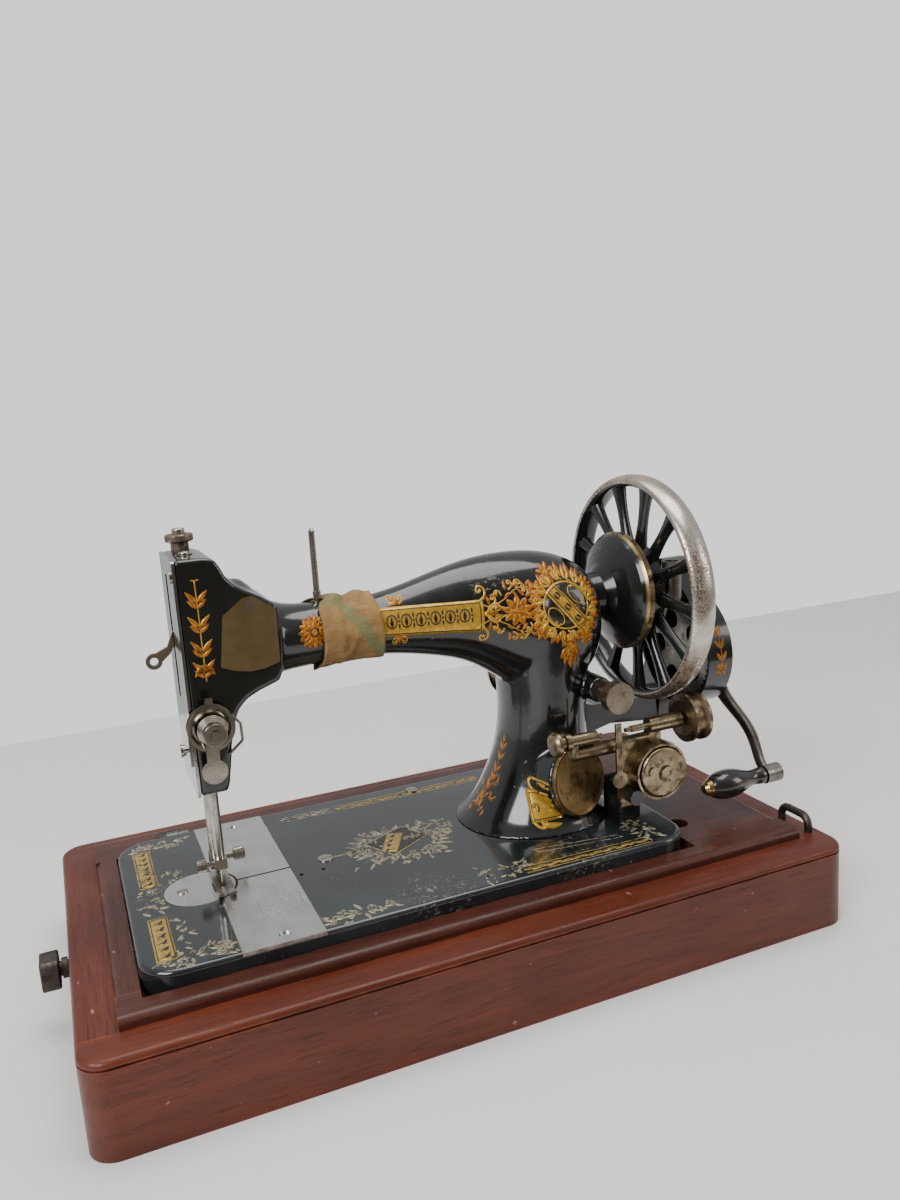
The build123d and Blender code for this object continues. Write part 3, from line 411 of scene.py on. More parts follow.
def cloth_material():
    """Tan tape with a green stripe wound round the arm; its threads run round and across, with painted
    highlight on their crests and painted shade between them.
    """
    s = Shader("woven_tape", Sheen_Weight=0.12, Sheen_Roughness=0.5, Specular_IOR_Level=0.12)
    axes = s.axes()
    up = s.minus(axes[2], BAND_AXIS_Z * MM)
    forward = s.minus(HEAD_Y * MM, axes[1])
    lift = s.maths("ARCTAN2", up, forward)               # 0 at the front, 90 degrees on top
    round_mm = s.times(lift, BAND_RADIUS)
    across_mm = s.times(axes[0], 1.0 / MM)
    warp = s.maths("SINE", s.times(across_mm, 2 * math.pi / THREAD_PITCH))
    weft = s.maths("SINE", s.times(round_mm, 2 * math.pi / THREAD_PITCH))
    weave = s.times(warp, weft)
    soil = s.noise(95.0, 6.0)
    colour = s.ramp(soil, (0.3, (0.23, 0.12, 0.04)), (0.55, (0.33, 0.185, 0.066)),
                    (0.75, (0.43, 0.26, 0.105)))
    wobble = s.times(s.minus(s.noise(150.0, 4.0, shift=2.0), 0.5), 7.0)
    centre = s.minus(STRIPE_X, s.times(lift, STRIPE_SLOPE))
    offset = s.plus(s.minus(across_mm, centre), wobble)
    stripe = s.step(s.maths("ABSOLUTE", offset), 6.0, 3.6)
    stripe = s.times(stripe, s.step(s.noise(330.0, 4.0, shift=6.0), 0.3, 0.56, 0.35, 0.85))
    colour = s.mix(stripe, colour, (0.125, 0.19, 0.085))
    leftward = s.step(s.plus(across_mm, wobble), -47.0, -53.0)
    top = s.times(s.step(lift, 0.75, 1.15), leftward)
    colour = s.mix(s.times(top, 0.85), colour, (0.165, 0.16, 0.055))
    streaks = s.noise(420.0, 4.0, (0.16, 1.0, 1.0), shift=4.0)
    colour = s.mix(s.step(streaks, 0.46, 0.66, 0.0, 0.55), colour, (0.15, 0.078, 0.03))
    gilt = s.times(s.step(lift, 0.1, 0.9), s.step(across_mm, -42.0, -36.0))
    colour = s.mix(s.times(gilt, 0.45), colour, (0.42, 0.235, 0.05))
    # painted highlight on the crests of the weave, then painted shade in its hollows
    colour = s.mix(s.step(weave, -0.2, 0.9, 0.0, 0.3), colour, (0.52, 0.355, 0.175))
    s.colour(s.mix(s.step(weave, -0.1, -0.9, 0.0, 0.45), colour, (0.12, 0.065, 0.028)))
    s.roughness(s.step(soil, 0.3, 0.7, 0.82, 0.95))
    across_threads = s.noise(520.0, 3.0, (0.2, 1.0, 1.0))
    round_threads = s.noise(520.0, 3.0, (1.0, 0.25, 0.25), shift=3.0)
    threads = s.plus(across_threads, round_threads)
    s.bump(s.plus(s.times(weave, 0.5), threads), 0.0004, 0.9)
    return s.material


def lacquer():
    s = Shader("black_lacquer", Coat_Weight=0.6, Coat_Roughness=0.06)
    grain = s.noise(40.0, 5.0, (1.0, 9.0, 9.0))
    colour = s.mix(s.step(grain, 0.4, 0.7), (0.01, 0.009, 0.009), (0.022, 0.016, 0.012))
    worn = s.times(s.step(s.noise(120.0, 6.0, shift=3.0), 0.6, 0.66), 0.7)
    s.colour(s.mix(worn, colour, (0.09, 0.045, 0.02)))
    s.roughness(s.step(grain, 0.3, 0.7, 0.14, 0.28))
    s.bump(grain, 0.00006, 0.4)
    return s.material


def floor_material():
    s = Shader("pale_floor", Roughness=0.45)
    s.colour(s.mix(s.step(s.noise(2.5, 3.0), 0.3, 0.7), (0.7, 0.69, 0.665), (0.75, 0.74, 0.72)))
    return s.material


# ---------------------------------------------------------------- mesh helpers

def new_piece(name, vertices, faces, material, smooth=True):
    """A mesh object from points in millimetres."""
    mesh = bpy.data.meshes.new(name)
    mesh.from_pydata([[c * MM for c in v] for v in vertices], [], faces)
    mesh.validate()
    mesh.polygons.foreach_set("use_smooth", [smooth] * len(mesh.polygons))
    mesh.materials.append(material)
    piece = bpy.data.objects.new(name, mesh)
    bpy.context.scene.collection.objects.link(piece)
    return piece


def copy_with_modifiers(node, name, add_modifiers):
    """A new object with the node's mesh after the modifiers that add_modifiers puts on it."""
    piece = bpy.data.objects.new(name, NODES[node].data.copy())
    bpy.context.scene.collection.objects.link(piece)
    add_modifiers(piece)
    evaluated = piece.evaluated_get(bpy.context.evaluated_depsgraph_get())
    mesh = bpy.data.meshes.new_from_object(evaluated)
    piece.modifiers.clear()
    piece.data = mesh
    return piece


def softened_casting(node, name, voxel, passes, material):
    """The node remeshed finely and smoothed, so cast edges are round and blends flow."""
    def modifiers(piece):
        remesh = piece.modifiers.new("remesh", "REMESH")
        remesh.mode = "VOXEL"
        remesh.voxel_size = voxel * MM
        smooth = piece.modifiers.new("smooth", "SMOOTH")
        smooth.factor = 0.5
        smooth.iterations = passes
    piece = copy_with_modifiers(node, name, modifiers)
    piece.data.materials.clear()
    piece.data.materials.append(material)
    piece.data.polygons.foreach_set("use_smooth", [True] * len(piece.data.polygons))
    return piece


def surface_of(piece):
    mesh = piece.data
    points = [v.co / MM for v in mesh.vertices]
    return BVHTree.FromPolygons(points, [tuple(p.vertices) for p in mesh.polygons])


def tube(path, radius, sides=10):
    """Vertices and faces of a capped round tube along a list of points in millimetres."""
    vertices, faces = [], []
    side = Vector((0, 0, 1))
    for k, point in enumerate(path):
        ahead = (path[min(k + 1, len(path) - 1)] - path[max(k - 1, 0)]).normalized()
        side = (side - ahead * side.dot(ahead)).normalized()
        other = ahead.cross(side)
        for j in range(sides):
            a = 2 * math.pi * j / sides
            vertices.append(point + radius * (math.cos(a) * side + math.sin(a) * other))
    for k in range(len(path) - 1):
        for j in range(sides):
            a, b = k * sides + j, k * sides + (j + 1) % sides
            faces.append((a, b, b + sides, a + sides))
    faces.append(tuple(reversed(range(sides))))
    last = (len(path) - 1) * sides
    faces.append(tuple(range(last, last + sides)))
    return vertices, faces


# ---------------------------------------------------------------- ornament

class Ornament:
    """Thin closed shells laid on a surface. Shapes are drawn in two coordinates (u, v):
    x, z seen from the front, y, z seen from the left, x, y seen from above."""

    LIFT, LAYER, SINK = 0.06, 0.035, 0.1

    def __init__(self, surface, facing):
        self.surface = surface
        self.facing = facing
        self.vertices, self.faces = [], []
        self.layer = 0

    def drop(self, u, v):
        if self.facing == "front":
            return self.surface.ray_cast(Vector((u, -200, v)), Vector((0, 1, 0)))[:2]
        if self.facing == "left":
            return self.surface.ray_cast(Vector((-40, u, v)), Vector((1, 0, 0)))[:2]
        return self.surface.ray_cast(Vector((u, v, 300)), Vector((0, 0, -1)))[:2]

    def strip(self, rows):
        """One shell over a grid of (u, v) points."""
        tops, bottoms = [], []
        high = self.LIFT + self.LAYER * self.layer
        for row in rows:
            for u, v in row:
                place, normal = self.drop(u, v)
                if place is None:
                    return
                tops.append(place + normal * high)
                bottoms.append(place - normal * self.SINK)
        first, count, wide = len(self.vertices), len(tops), len(rows[0])
        self.vertices += tops + bottoms
        for i in range(len(rows) - 1):
            for j in range(wide - 1):
                a = first + i * wide + j
                quad = (a, a + 1, a + 1 + wide, a + wide)
                self.faces.append(quad)
                self.faces.append(tuple(k + count for k in reversed(quad)))
        rim = list(range(wide)) + [i * wide + wide - 1 for i in range(1, len(rows))]
        rim += [(len(rows) - 1) * wide + j for j in range(wide - 2, -1, -1)]
        rim += [i * wide for i in range(len(rows) - 2, 0, -1)]
        for a, b in zip(rim, rim[1:] + rim[:1]):
            self.faces.append((first + b, first + a, first + a + count, first + b + count))

    def ribbon(self, path, widths, across=1):
        """A band along a path; widths is a half-width, or one per point."""
        if isinstance(widths, (int, float)):
            widths = [widths] * len(path)
        rows = []
        for k, (u, v) in enumerate(path):
            u0, v0 = path[max(k - 1, 0)]
            u1, v1 = path[min(k + 1, len(path) - 1)]
            length = math.hypot(u1 - u0, v1 - v0) or 1.0
            nu, nv = -(v1 - v0) / length, (u1 - u0) / length
            spread = [2 * j / across - 1 for j in range(across + 1)]
            rows.append([(u + nu * widths[k] * t, v + nv * widths[k] * t) for t in spread])
        self.strip(rows)

    def curve(self, points, half_width, steps=6, taper=False):
        """A smooth line through points."""
        path = through(points, steps)
        widths = [half_width] * len(path)
        if taper:
            widths = [half_width * (1 - 0.75 * k / (len(path) - 1)) for k in range(len(path))]
        self.ribbon(path, widths)

    def leaf(self, u, v, angle, length, half_width, bend=0.0, steps=7):
        """A pointed leaf from its stalk at (u, v), turning by bend degrees on the way."""
        path, widths = [], []
        for k in range(steps + 1):
            t = k / steps
            path.append((u, v))
            widths.append(max(0.04, half_width * math.sin(math.pi * t ** 0.8) ** 0.85))
            heading = math.radians(angle + bend * t)
            u += math.cos(heading) * length / steps
            v += math.sin(heading) * length / steps
        self.ribbon(path, widths, across=2)

    def disc(self, u, v, outer, inner=0.05, sides=16, squash=1.0, tilt=0.0):
        rows = []
        rings = 2 if outer - inner > 2.5 else 1
        c, s = math.cos(math.radians(tilt)), math.sin(math.radians(tilt))
        for k in range(sides + 1):
            a = -2 * math.pi * k / sides
            row = []
            for j in range(rings + 1):
                r = inner + (outer - inner) * j / rings
                p, q = r * math.cos(a), r * math.sin(a) * squash
                row.append((u + c * p - s * q, v + s * p + c * q))
            rows.append(row)
        self.strip(rows)

    def scroll(self, u, v, angle, size, hand=1, half_width=0.55, turns=1.25):
        """A stem that curls into a spiral with a round end; hand is 1 or -1."""
        steps = 20
        path, widths = [], []
        for k in range(steps + 1):
            t = k / steps
            path.append((u, v))
            widths.append(half_width * (1 - 0.45 * t))
            heading = math.radians(angle + hand * turns * 360 * t ** 1.35)
            stride = size * 1.9 / steps * (1.25 - t)
            u += math.cos(heading) * stride
            v += math.sin(heading) * stride
        self.ribbon(path, widths)
        self.disc(*path[-1], half_width * 1.25, sides=10)

    def flower(self, u, v, radius, petals=9, start=0.0, spread=360.0):
        for k in range(petals):
            angle = start + spread * k / petals
            a = math.radians(angle)
            self.leaf(u + math.cos(a) * radius * 0.3, v + math.sin(a) * radius * 0.3, angle,
                      radius * 0.72, radius * 0.22)
        self.disc(u, v, radius * 0.34)

    def panel(self, corners, cell=2.0):
        """A filled quadrilateral; corners go round it."""
        a, b, c, d = (Vector(p) for p in corners)
        rows_n = max(1, math.ceil((b - a).length / cell))
        cols_n = max(1, math.ceil((d - a).length / cell))
        rows = []
        for i in range(rows_n + 1):
            near, far = a.lerp(b, i / rows_n), d.lerp(c, i / rows_n)
            rows.append([tuple(near.lerp(far, j / cols_n)) for j in range(cols_n + 1)])
        self.strip(rows)

    def outline(self, corners, half_width):
        for a, b in zip(corners, corners[1:] + corners[:1]):
            steps = max(1, math.ceil(math.dist(a, b) / 2.0))
            line = [tuple(Vector(a).lerp(Vector(b), k / steps)) for k in range(steps + 1)]
            self.ribbon(line, half_width)

    def sprig(self, points, leaves, length, half_width, stem=0.35, flare=38):
        """A stem with pairs of leaves."""
        path = through(points, 8)
        self.ribbon(path, stem)
        for k in range(leaves):
            i = round((k + 0.35) / leaves * (len(path) - 2))
            (u0, v0), (u1, v1) = path[i], path[i + 1]
            heading = math.degrees(math.atan2(v1 - v0, u1 - u0))
            for side in (1, -1):
                self.leaf(u0, v0, heading + side * flare, length, half_width, -side * 12)
        heading = math.degrees(math.atan2(path[-1][1] - path[-2][1], path[-1][0] - path[-2][0]))
        self.leaf(*path[-1], heading, length * 0.9, half_width)

    def finish(self, name, material, body="head"):
        piece = new_piece(name, self.vertices, self.faces, material)
        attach(piece, body)
        return piece


def through(points, steps):
    """Points on a smooth curve through the given ones."""
    path = []
    ends = [points[0], *points, points[-1]]
    for a, b, c, d in zip(ends, ends[1:], ends[2:], ends[3:]):
        for k in range(steps):
            t = k / steps
            path.append(tuple(0.5 * (2 * q + (r - p) * t + (2 * p - 5 * q + 4 * r - s) * t * t
                                     + (3 * q - p - 3 * r + s) * t ** 3)
                              for p, q, r, s in zip(a, b, c, d)))
    path.append(tuple(points[-1]))
    return path


def foliage(art, box, count, seed, length=(4.0, 8.0), half_width=0.9, curls=True):
    """Leaves and curls scattered through a box, pointing away from its centre."""
    rng = random.Random(seed)
    u0, u1, v0, v1 = box
    cu, cv = (u0 + u1) / 2, (v0 + v1) / 2
    for _ in range(count):
        u, v = rng.uniform(u0, u1), rng.uniform(v0, v1)
        angle = math.degrees(math.atan2(v - cv, u - cu)) + rng.uniform(-70, 70)
        if curls and rng.random() < 0.4:
            art.scroll(u, v, angle, rng.uniform(*length) * 0.8, rng.choice((1, -1)), 0.35)
        else:
            art.leaf(u, v, angle, rng.uniform(*length), half_width * rng.uniform(0.7, 1.2),
                     rng.uniform(-60, 60))


def border(art, start, end, half_width, seed):
    """A running band of leaves and curls between two points."""
    rng = random.Random(seed)
    start, end = Vector(start), Vector(end)
    way = (end - start).normalized()
    side = Vector((-way.y, way.x))
    heading = math.degrees(math.atan2(way.y, way.x))
    pitch = half_width * 1.25
    count = int((end - start).length / pitch)
    for k in range(count):
        place = start + way * pitch * k
        hand = 1 if k % 2 else -1
        base = place - side * hand * half_width * 0.4
        art.leaf(*base, heading + hand * (35 + rng.uniform(-12, 12)), half_width * 1.7,
                 half_width * 0.36, -hand * 60)
        art.scroll(*place, heading - hand * 50, half_width * 1.1, hand, half_width * 0.13)
    for edge in (-1, 1):
        line = [tuple(start + way * (end - start).length * k / 40 + side * edge * half_width)
                for k in range(41)]
        art.ribbon(line, 0.28)


def head_sprig(g, o):
    """Leaf sprig on the needle head."""
    g.curve([(-133.6, 243), (-133.3, 226), (-133.3, 208), (-133.0, 189.5)], 0.32)
    for z in (230.5, 217.5, 204.5, 193.5):
        for side in (1, -1):
            o.leaf(-133.4, z, 90 - side * 34, 9.2, 1.35, -side * 10)
            o.leaf(-133.4, z - 2.0, 90 - side * 52, 6.6, 0.95, side * 10)
            o.leaf(-133.4, z + 1.0, 90 - side * 76, 5.4, 0.5)
    for side in (1, -1):
        o.leaf(-133.4, 198.5, -90 + side * 42, 8.0, 1.5)
        o.leaf(-133.4, 243.0, 90 - side * 80, 2.4, 0.45)


def arm_panel(g, o, d):
    """Sunflower beside the cloth, and the long gold panel with a generic running pattern."""
    o.flower(-71.0, 204.8, 9.4, 15, 8)
    o.layer = 1
    o.flower(-71.0, 204.8, 6.0, 11, 20)
    d.layer = 3
    d.disc(-71.0, 204.8, 2.6, 1.9)
    panel = [(-36.0, 212.6), (28.5, 210.8), (28.5, 191.8), (-36.0, 196.2)]
    g.layer = 0
    g.panel(panel)
    d.layer = 1
    inner = [(-36.0, 210.9), (26.5, 209.3), (26.5, 193.4), (-36.0, 197.8)]
    d.outline(inner, 0.28)
    for k in range(6):
        u = -26.0 + 8.6 * k
        v = 204.2 - 0.28 * k
        d.disc(u, v, 3.3, 2.6, 14, 1.25)
        d.leaf(u, v - 3.2, 90, 6.4, 1.0)
        d.disc(u + 4.3, v, 0.7, sides=8)
        for side in (1, -1):
            d.leaf(u + 4.3, v + side * 1.4, side * 90, 3.4, 0.55)
    for v, up in ((213.4, 1), (195.0, -1)):
        o.layer = 1
        for angle in (20, 55, 90, 125, 160):
            o.leaf(-21.5, v, up * angle, 4.6, 0.9)
        g.layer = 2
        g.scroll(-20.0, v, up * 20, 7.0, up, 0.4)
        g.scroll(-23.0, v, up * 160, 7.0, -up, 0.4)


def arm_scrollwork(g, o):
    """Curls and leaves between the panel and the medallion."""
    v0 = 202.4
    g.layer = 0
    for up in (1, -1):
        g.scroll(26.0, v0 + up * 7.6, up * 25, 13.0, up, 0.75)
        g.scroll(31.0, v0 + up * 2.0, up * 60, 11.0, -up, 0.6)
        g.curve([(24.0, v0 + up * 8.4), (32.0, v0 + up * 4.0), (41.0, v0 + up * 7.0), (50.0, v0 + up * 12.5),
                 (58.0, v0 + up * 13.0)], 0.5, taper=True)
        g.curve([(29.0, v0), (35.0, v0 + up * 3.5), (42.0, v0 + up * 2.0)], 0.6)
        g.scroll(50.0, v0 + up * 12.0, up * 70, 8.0, -up, 0.5)
    o.layer = 0
    o.leaf(28.0, v0, 0, 9.0, 2.2)
    o.flower(49.0, 202.0, 9.4, 9, 10)
    o.layer = 1
    o.flower(49.0, 202.0, 5.4, 7, 30)
    curls = ((34.0, 5.0, 30, 7.0), (40.0, 9.5, 100, 6.5), (45.0, 12.5, 20, 7.5),
             (56.0, 8.0, 60, 7.0), (54.0, 14.5, 110, 7.0), (60.0, 10.0, -20, 6.5))
    for up in (1, -1):
        for u, v, angle, size in curls:
            g.scroll(u, v0 + up * v, up * angle, size, up, 0.55)
            o.leaf(u - 2.0, v0 + up * v, up * (angle + 60), 5.5, 1.0, up * 30)
            o.leaf(u + 2.0, v0 + up * (v - 1.0), up * (angle - 70), 4.5, 0.8)


def pillar_sprig(surface, orange):
    """Leaf sprig on the left side of the pillar."""
    flank = Ornament(surface, "left")
    flank.sprig([(-7.0, 74.0), (-10.0, 85.0), (-12.0, 99.0), (-13.0, 114.0)], 7, 7.0, 1.15)
    foliage(flank, (-19.0, -2.0, 72.0, 92.0), 22, 5, (3.5, 6.0), 0.8)
    flank.finish("pillar_sprig", orange)


def pillar_label(g, d):
    """Worn label on the front of the pillar."""
    g.layer = 0
    label = [(48.0, 90.5), (66.0, 92.0), (65.0, 73.5), (47.0, 72.0)]
    g.panel(label)
    g.scroll(52.0, 90.0, 120, 12.0, -1, 0.8)
    g.scroll(48.0, 73.0, -60, 11.0, 1, 0.9)
    g.leaf(52.0, 71.0, -10, 13.0, 1.6, 20)
    d.layer = 1
    d.outline([(49.5, 88.8), (64.5, 90.2), (63.6, 75.0), (48.6, 73.8)], 0.25)
    for k in range(3):
        d.scroll(52.0 + 4.5 * k, 78.0 + k, 60, 7.0, (-1) ** k, 0.4)


def arm_ornament(surface, gold, orange, dark):
    """Transfers on the head, arm and pillar."""
    g, o, d = (Ornament(surface, "front") for _ in range(3))
    head_sprig(g, o)
    arm_panel(g, o, d)
    arm_scrollwork(g, o)
    medallion(g, o, d)
    pillar_sprig(surface, orange)
    pillar_label(g, d)
    g.finish("arm_ornament_gold", gold)
    o.finish("arm_ornament_orange", orange)
    d.finish("arm_ornament_lines", dark)


def case_ornament(surface, orange):
    """Leaves on the front edge of the gear case."""
    o = Ornament(surface, "front")
    o.sprig([(178.5, 148.0), (177.5, 162.0), (176.0, 176.0)], 4, 6.6, 1.25)
    o.leaf(175.5, 182.0, 100, 5.0, 1.2)
    o.flower(178.0, 150.0, 4.6, 7)
    o.finish("case_ornament", orange)


def medallion(g, o, d):
    """Round wreath with a slanted shield and dark ovals."""
    cu, cv = 80.0, 201.5
    for layer, art, count, radius, size, width in ((0, o, 19, 16.5, 9.0, 2.0), (1, g, 16, 15.0, 6.5, 1.1)):
        art.layer = layer
        for k in range(count):
            angle = 360 * k / count + 7
            a = math.radians(angle)
            u, v = cu + radius * 1.02 * math.cos(a), cv + radius * math.sin(a)
            art.leaf(u, v, angle + 42, size, width, -55)
            art.leaf(u, v, angle - 30, size * 0.8, width * 0.8, 40)
    g.layer = 1
    for k in range(10):
        angle = 36 * k + 15
        a = math.radians(angle)
        g.scroll(cu + 15.5 * math.cos(a), cv + 15.0 * math.sin(a), angle + 70, 9.0, -1, 0.6)
    o.layer = 0
    for u, v, r in ((61.0, 212.0, 6.5), (72.0, 221.0, 6.5), (97.0, 211.0, 5.5), (92.0, 181.0, 5.5),
                    (63.0, 188.5, 6.0)):
        o.flower(u, v, r, 8, u)
    for angle in (-135, -112, -90, -68, -45):
        o.leaf(80.5, 177.0, angle, 14.5 - abs(angle + 90) * 0.1, 2.5)
    o.flower(80.5, 177.0, 5.5, 7)
    d.layer = 2
    d.disc(cu, cv, 15.0, 0.05, 28, 0.92)
    g.layer = 3
    g.disc(cu, cv, 15.4, 14.3, 32, 0.92)
    for side in (1, -1):
        g.disc(cu + side * 7.6, cv + side * 5.6, 6.6, 5.9, 20, 0.62, 130)
        g.scroll(cu + side * 5.0, cv + side * 10.0, 90 * side - 50, 6.0, side, 0.35)
    shield = [(67.5, 210.5), (74.0, 215.0), (94.0, 191.0), (86.5, 186.0)]
    g.panel(shield)
    d.layer = 5
    d.outline([(69.6, 210.2), (74.0, 213.2), (91.8, 191.4), (86.6, 188.2)], 0.3)
    for k in range(3):
        t = 0.2 + 0.3 * k
        u, v = 70.8 + t * 19.4, 212.8 - t * 24.2
        d.disc(u, v, 2.0, 1.35, 12)
        d.leaf(u + 1.2, v - 2.4, 140, 4.6, 0.8)
        d.leaf(u - 0.6, v + 2.2, -40, 4.6, 0.8)


def crest(w):
    """Wreath of leaves and curls round the slanted panel on the bed."""
    cu, cv, count = -27.0, -14.0, 26
    for k in range(count):
        angle = 360 * k / count
        a = math.radians(angle)
        u = cu + 23.5 * math.cos(a) - 3.0 * math.sin(a)
        v = cv + 17.5 * math.sin(a)
        w.leaf(u, v, angle + 38, 10.5, 1.35, -55)
        w.leaf(u, v, angle - 42, 8.0, 1.0, 45)
        w.scroll(u, v, angle + (80 if k % 2 else -80), 8.5, 1 if k % 2 else -1, 0.55)
    foliage(w, (-60.0, -46.0, -34.0, -8.0), 22, 11, (5.0, 9.0), 1.1)
    foliage(w, (-8.0, 7.0, -12.0, 8.0), 26, 12, (5.0, 9.0), 1.1)
    foliage(w, (-46.0, -26.0, 2.0, 9.0), 14, 13, (4.0, 7.0), 1.0)
    foliage(w, (-30.0, -6.0, -40.0, -32.0), 16, 14, (4.0, 7.0), 1.0)


def slide_stamp(surface, dark):
    """Worn frame with rows of short strokes stamped into the front slide."""
    d = Ornament(surface, "top")
    corners = [(-121.0, -44.0), (-98.0, -44.0), (-98.0, -62.0), (-121.0, -62.0)]
    d.outline(corners, 0.16)
    for row in range(4):
        for k in range(7):
            u, v = -118.5 + 3.0 * k, -47.5 - 3.8 * row
            d.ribbon([(u, v), (u + 1.9, v - 0.3 * (k % 2))], 0.22)
    d.finish("slide_stamp", dark, "front_slide")


def bed_ornament(surface, gold, worn_gold, dark):
    g, w, d = (Ornament(surface, "top") for _ in range(3))
    border(g, (-48, 57.0), (58, 57.0), 3.6, 2)
    border(w, (-85, 57.0), (-50, 57.0), 3.2, 3)
    border(g, (22, -83.5), (104, -85.6), 3.6, 4)
    foliage(w, (-4.0, 26.0, -84.0, -72.0), 34, 6, (4.0, 8.0), 1.0)
    foliage(w, (101.0, 113.0, -84.0, -58.0), 34, 7, (4.0, 8.0), 1.0)
    w.outline([(38.0, -63.0), (90.0, -71.0), (92.0, -75.0), (40.0, -68.0)], 0.25)
    foliage(w, (-91.0, -56.0, -86.5, -79.5), 40, 8, (4.5, 9.0), 1.15)
    # slanted crest
    crest(w)
    d.layer = 2
    d.panel([(-47.0, -6.0), (-19.0, 8.0), (-9.0, -12.0), (-36.0, -28.0)])
    w.layer = 3
    w.outline([(-47.0, -6.0), (-19.0, 8.0), (-9.0, -12.0), (-36.0, -28.0)], 0.5)
    g.layer = 3
    g.panel([(-30.0, 2.0), (-21.0, -1.5), (-33.0, -25.0), (-41.0, -20.0)])
    for u, v, a in ((-41.0, -8.0, 60), (-16.0, -5.0, -120), (-40.0, -12.0, -40), (-18.0, -12.0, 100)):
        w.scroll(u, v, a, 9.0, 1, 0.45)
    d.layer = 5
    for k in range(4):
        d.leaf(-26.5 - 3.1 * k, -2.0 - 5.6 * k, -150, 4.4, 0.9, 40)
        d.disc(-29.5 - 2.7 * k, -3.0 - 5.6 * k, 0.7, sides=8)
    # framed panels at the left end
    for low, high in ((4.0, 56.0), (-80.0, -34.0)):
        g.layer, d.layer = 0, 1
        g.panel([(-178.0, low), (-167.5, low), (-167.5, high), (-178.0, high)], 4.0)
        d.outline([(-176.9, low + 1.2), (-168.6, low + 1.2), (-168.6, high - 1.2),
                   (-176.9, high - 1.2)], 0.25)
        steps = int((high - low - 8) / 7.0)
        for k in range(steps + 1):
            v = low + 5.5 + 7.0 * k
            d.scroll(-174.8, v - 2.0, 55, 5.5, -1, 0.35)
            d.leaf(-170.6, v + 2.0, -110, 5.0, 0.8, -40)
    w.layer = 0
    foliage(w, (-176.0, -146.0, 56.0, 63.0), 34, 21, (4.0, 8.0), 1.1)
    foliage(w, (-166.0, -152.0, 4.0, 17.0), 15, 22, (4.0, 7.5), 1.0)
    foliage(w, (-181.0, -169.0, -26.0, -1.0), 26, 23, (4.0, 7.5), 1.0)
    foliage(w, (-176.0, -143.0, -87.0, -76.0), 50, 24, (4.0, 9.0), 1.1)
    foliage(w, (-166.0, -159.0, -72.0, -40.0), 14, 25, (3.0, 6.0), 0.9)
    g.finish("bed_ornament_gold", gold)
    w.finish("bed_ornament_worn", worn_gold)
    d.finish("bed_ornament_lines", dark)


# ---------------------------------------------------------------- cloth band

BAND_AXIS_Z = 201.0
BAND_RADIUS = 21.5
BAND_X0, BAND_X1 = -66.3, -31.7
BAND_TURNS = 1.6
BAND_THICKNESS = 0.7
THREAD_PITCH = 1.45
STRIPE_X, STRIPE_SLOPE = -41.2, 12.5


def bump_at(value, centre, width):
    return math.exp(-((value - centre) / width) ** 2)


def cloth_band(arm_surface, material):
    """Tape wound round the arm from behind, its outer end tucked in at the back."""
    around, across = 260, 26
    vertices, faces = [], []
    for side in (1, -1):
        for i in range(around + 1):
            turn = BAND_TURNS * 360 * i / around
            angle = (20.0 + turn) % 360                  # 0 back, 90 top, 180 front, 270 below
            wound = turn / 360
            outer = 1.0 if turn > 360 * (BAND_TURNS - 1) else 0.0
            for j in range(across + 1):
                share = j / across
                vertices.append(band_point(arm_surface, angle, wound, share, outer, side))
    row = across + 1
    count = (around + 1) * row
    for i in range(around):
        for j in range(across):
            a = i * row + j
            quad = (a, a + 1, a + 1 + row, a + row)
            faces.append(quad)
            faces.append(tuple(k + count for k in reversed(quad)))
    rim = list(range(row)) + [i * row + across for i in range(1, around + 1)]
    rim += [around * row + j for j in range(across - 1, -1, -1)] + [i * row for i in range(around - 1, 0, -1)]
    for a, b in zip(rim, rim[1:] + rim[:1]):
        faces.append((b, a, a + count, b + count))
    piece = new_piece("cloth_tape", vertices, faces, material)
    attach(piece, "head")
    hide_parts("cloth_band")
    return piece


def band_point(surface, angle, wound, share, outer, side):
    """One vertex of the tape; share runs from its left edge to its right one."""
    left = BAND_X0 - 3.6 * bump_at(angle, 262, 24) * outer
    left += 6.0 * bump_at(angle, 96, 17) - 4.5 * bump_at(angle, 45, 22) * outer
    right = BAND_X1 + 0.8 * math.sin(math.radians(angle * 2)) - 1.2 * bump_at(angle, 105, 20)
    x = left + (right - left) * share
    a = math.radians(angle)
    out = Vector((0, math.cos(a), math.sin(a)))
    hub = Vector((x, HEAD_Y, BAND_AXIS_Z))
    place, _ = surface.ray_cast(hub + out * 60, -out)[:2]
    reach = (place - hub).length if place else BAND_RADIUS
    fold = 0.55 + 1.1 * wound
    if outer:
        fold += 1.3 * bump_at(share, 0.3, 0.06) * bump_at(angle, 182, 48)
        fold -= 0.8 * bump_at(share, 0.4, 0.045) * bump_at(angle, 182, 44)
        fold += 1.2 * bump_at(share, 0.56 - 0.005 * (angle - 180), 0.05) * bump_at(angle, 205, 30)
        fold += 0.7 * bump_at(share, 0.8 - 0.003 * (angle - 160), 0.05) * bump_at(angle, 150, 30)
        puff = bump_at(share, 0.24, 0.16) + 1.15 * bump_at(share, 0.7, 0.15)
        fold += 2.7 * puff * bump_at(angle, 97, 32)
        fold -= 1.0 * bump_at(share, 0.45, 0.05) * bump_at(angle, 105, 30)
        fold += 1.6 * bump_at(angle, 262, 24) * (1 - share) ** 3
        fold += 0.22 * math.sin(share * 23 + angle * 0.05) * math.sin(a * 5 + share * 4)
        fold += 0.35 * bump_at(share, 1.0, 0.05) + 0.3 * bump_at(share, 0.0, 0.05)
    return hub + out * (reach + fold + side * BAND_THICKNESS / 2)


# ---------------------------------------------------------------- small replaced parts

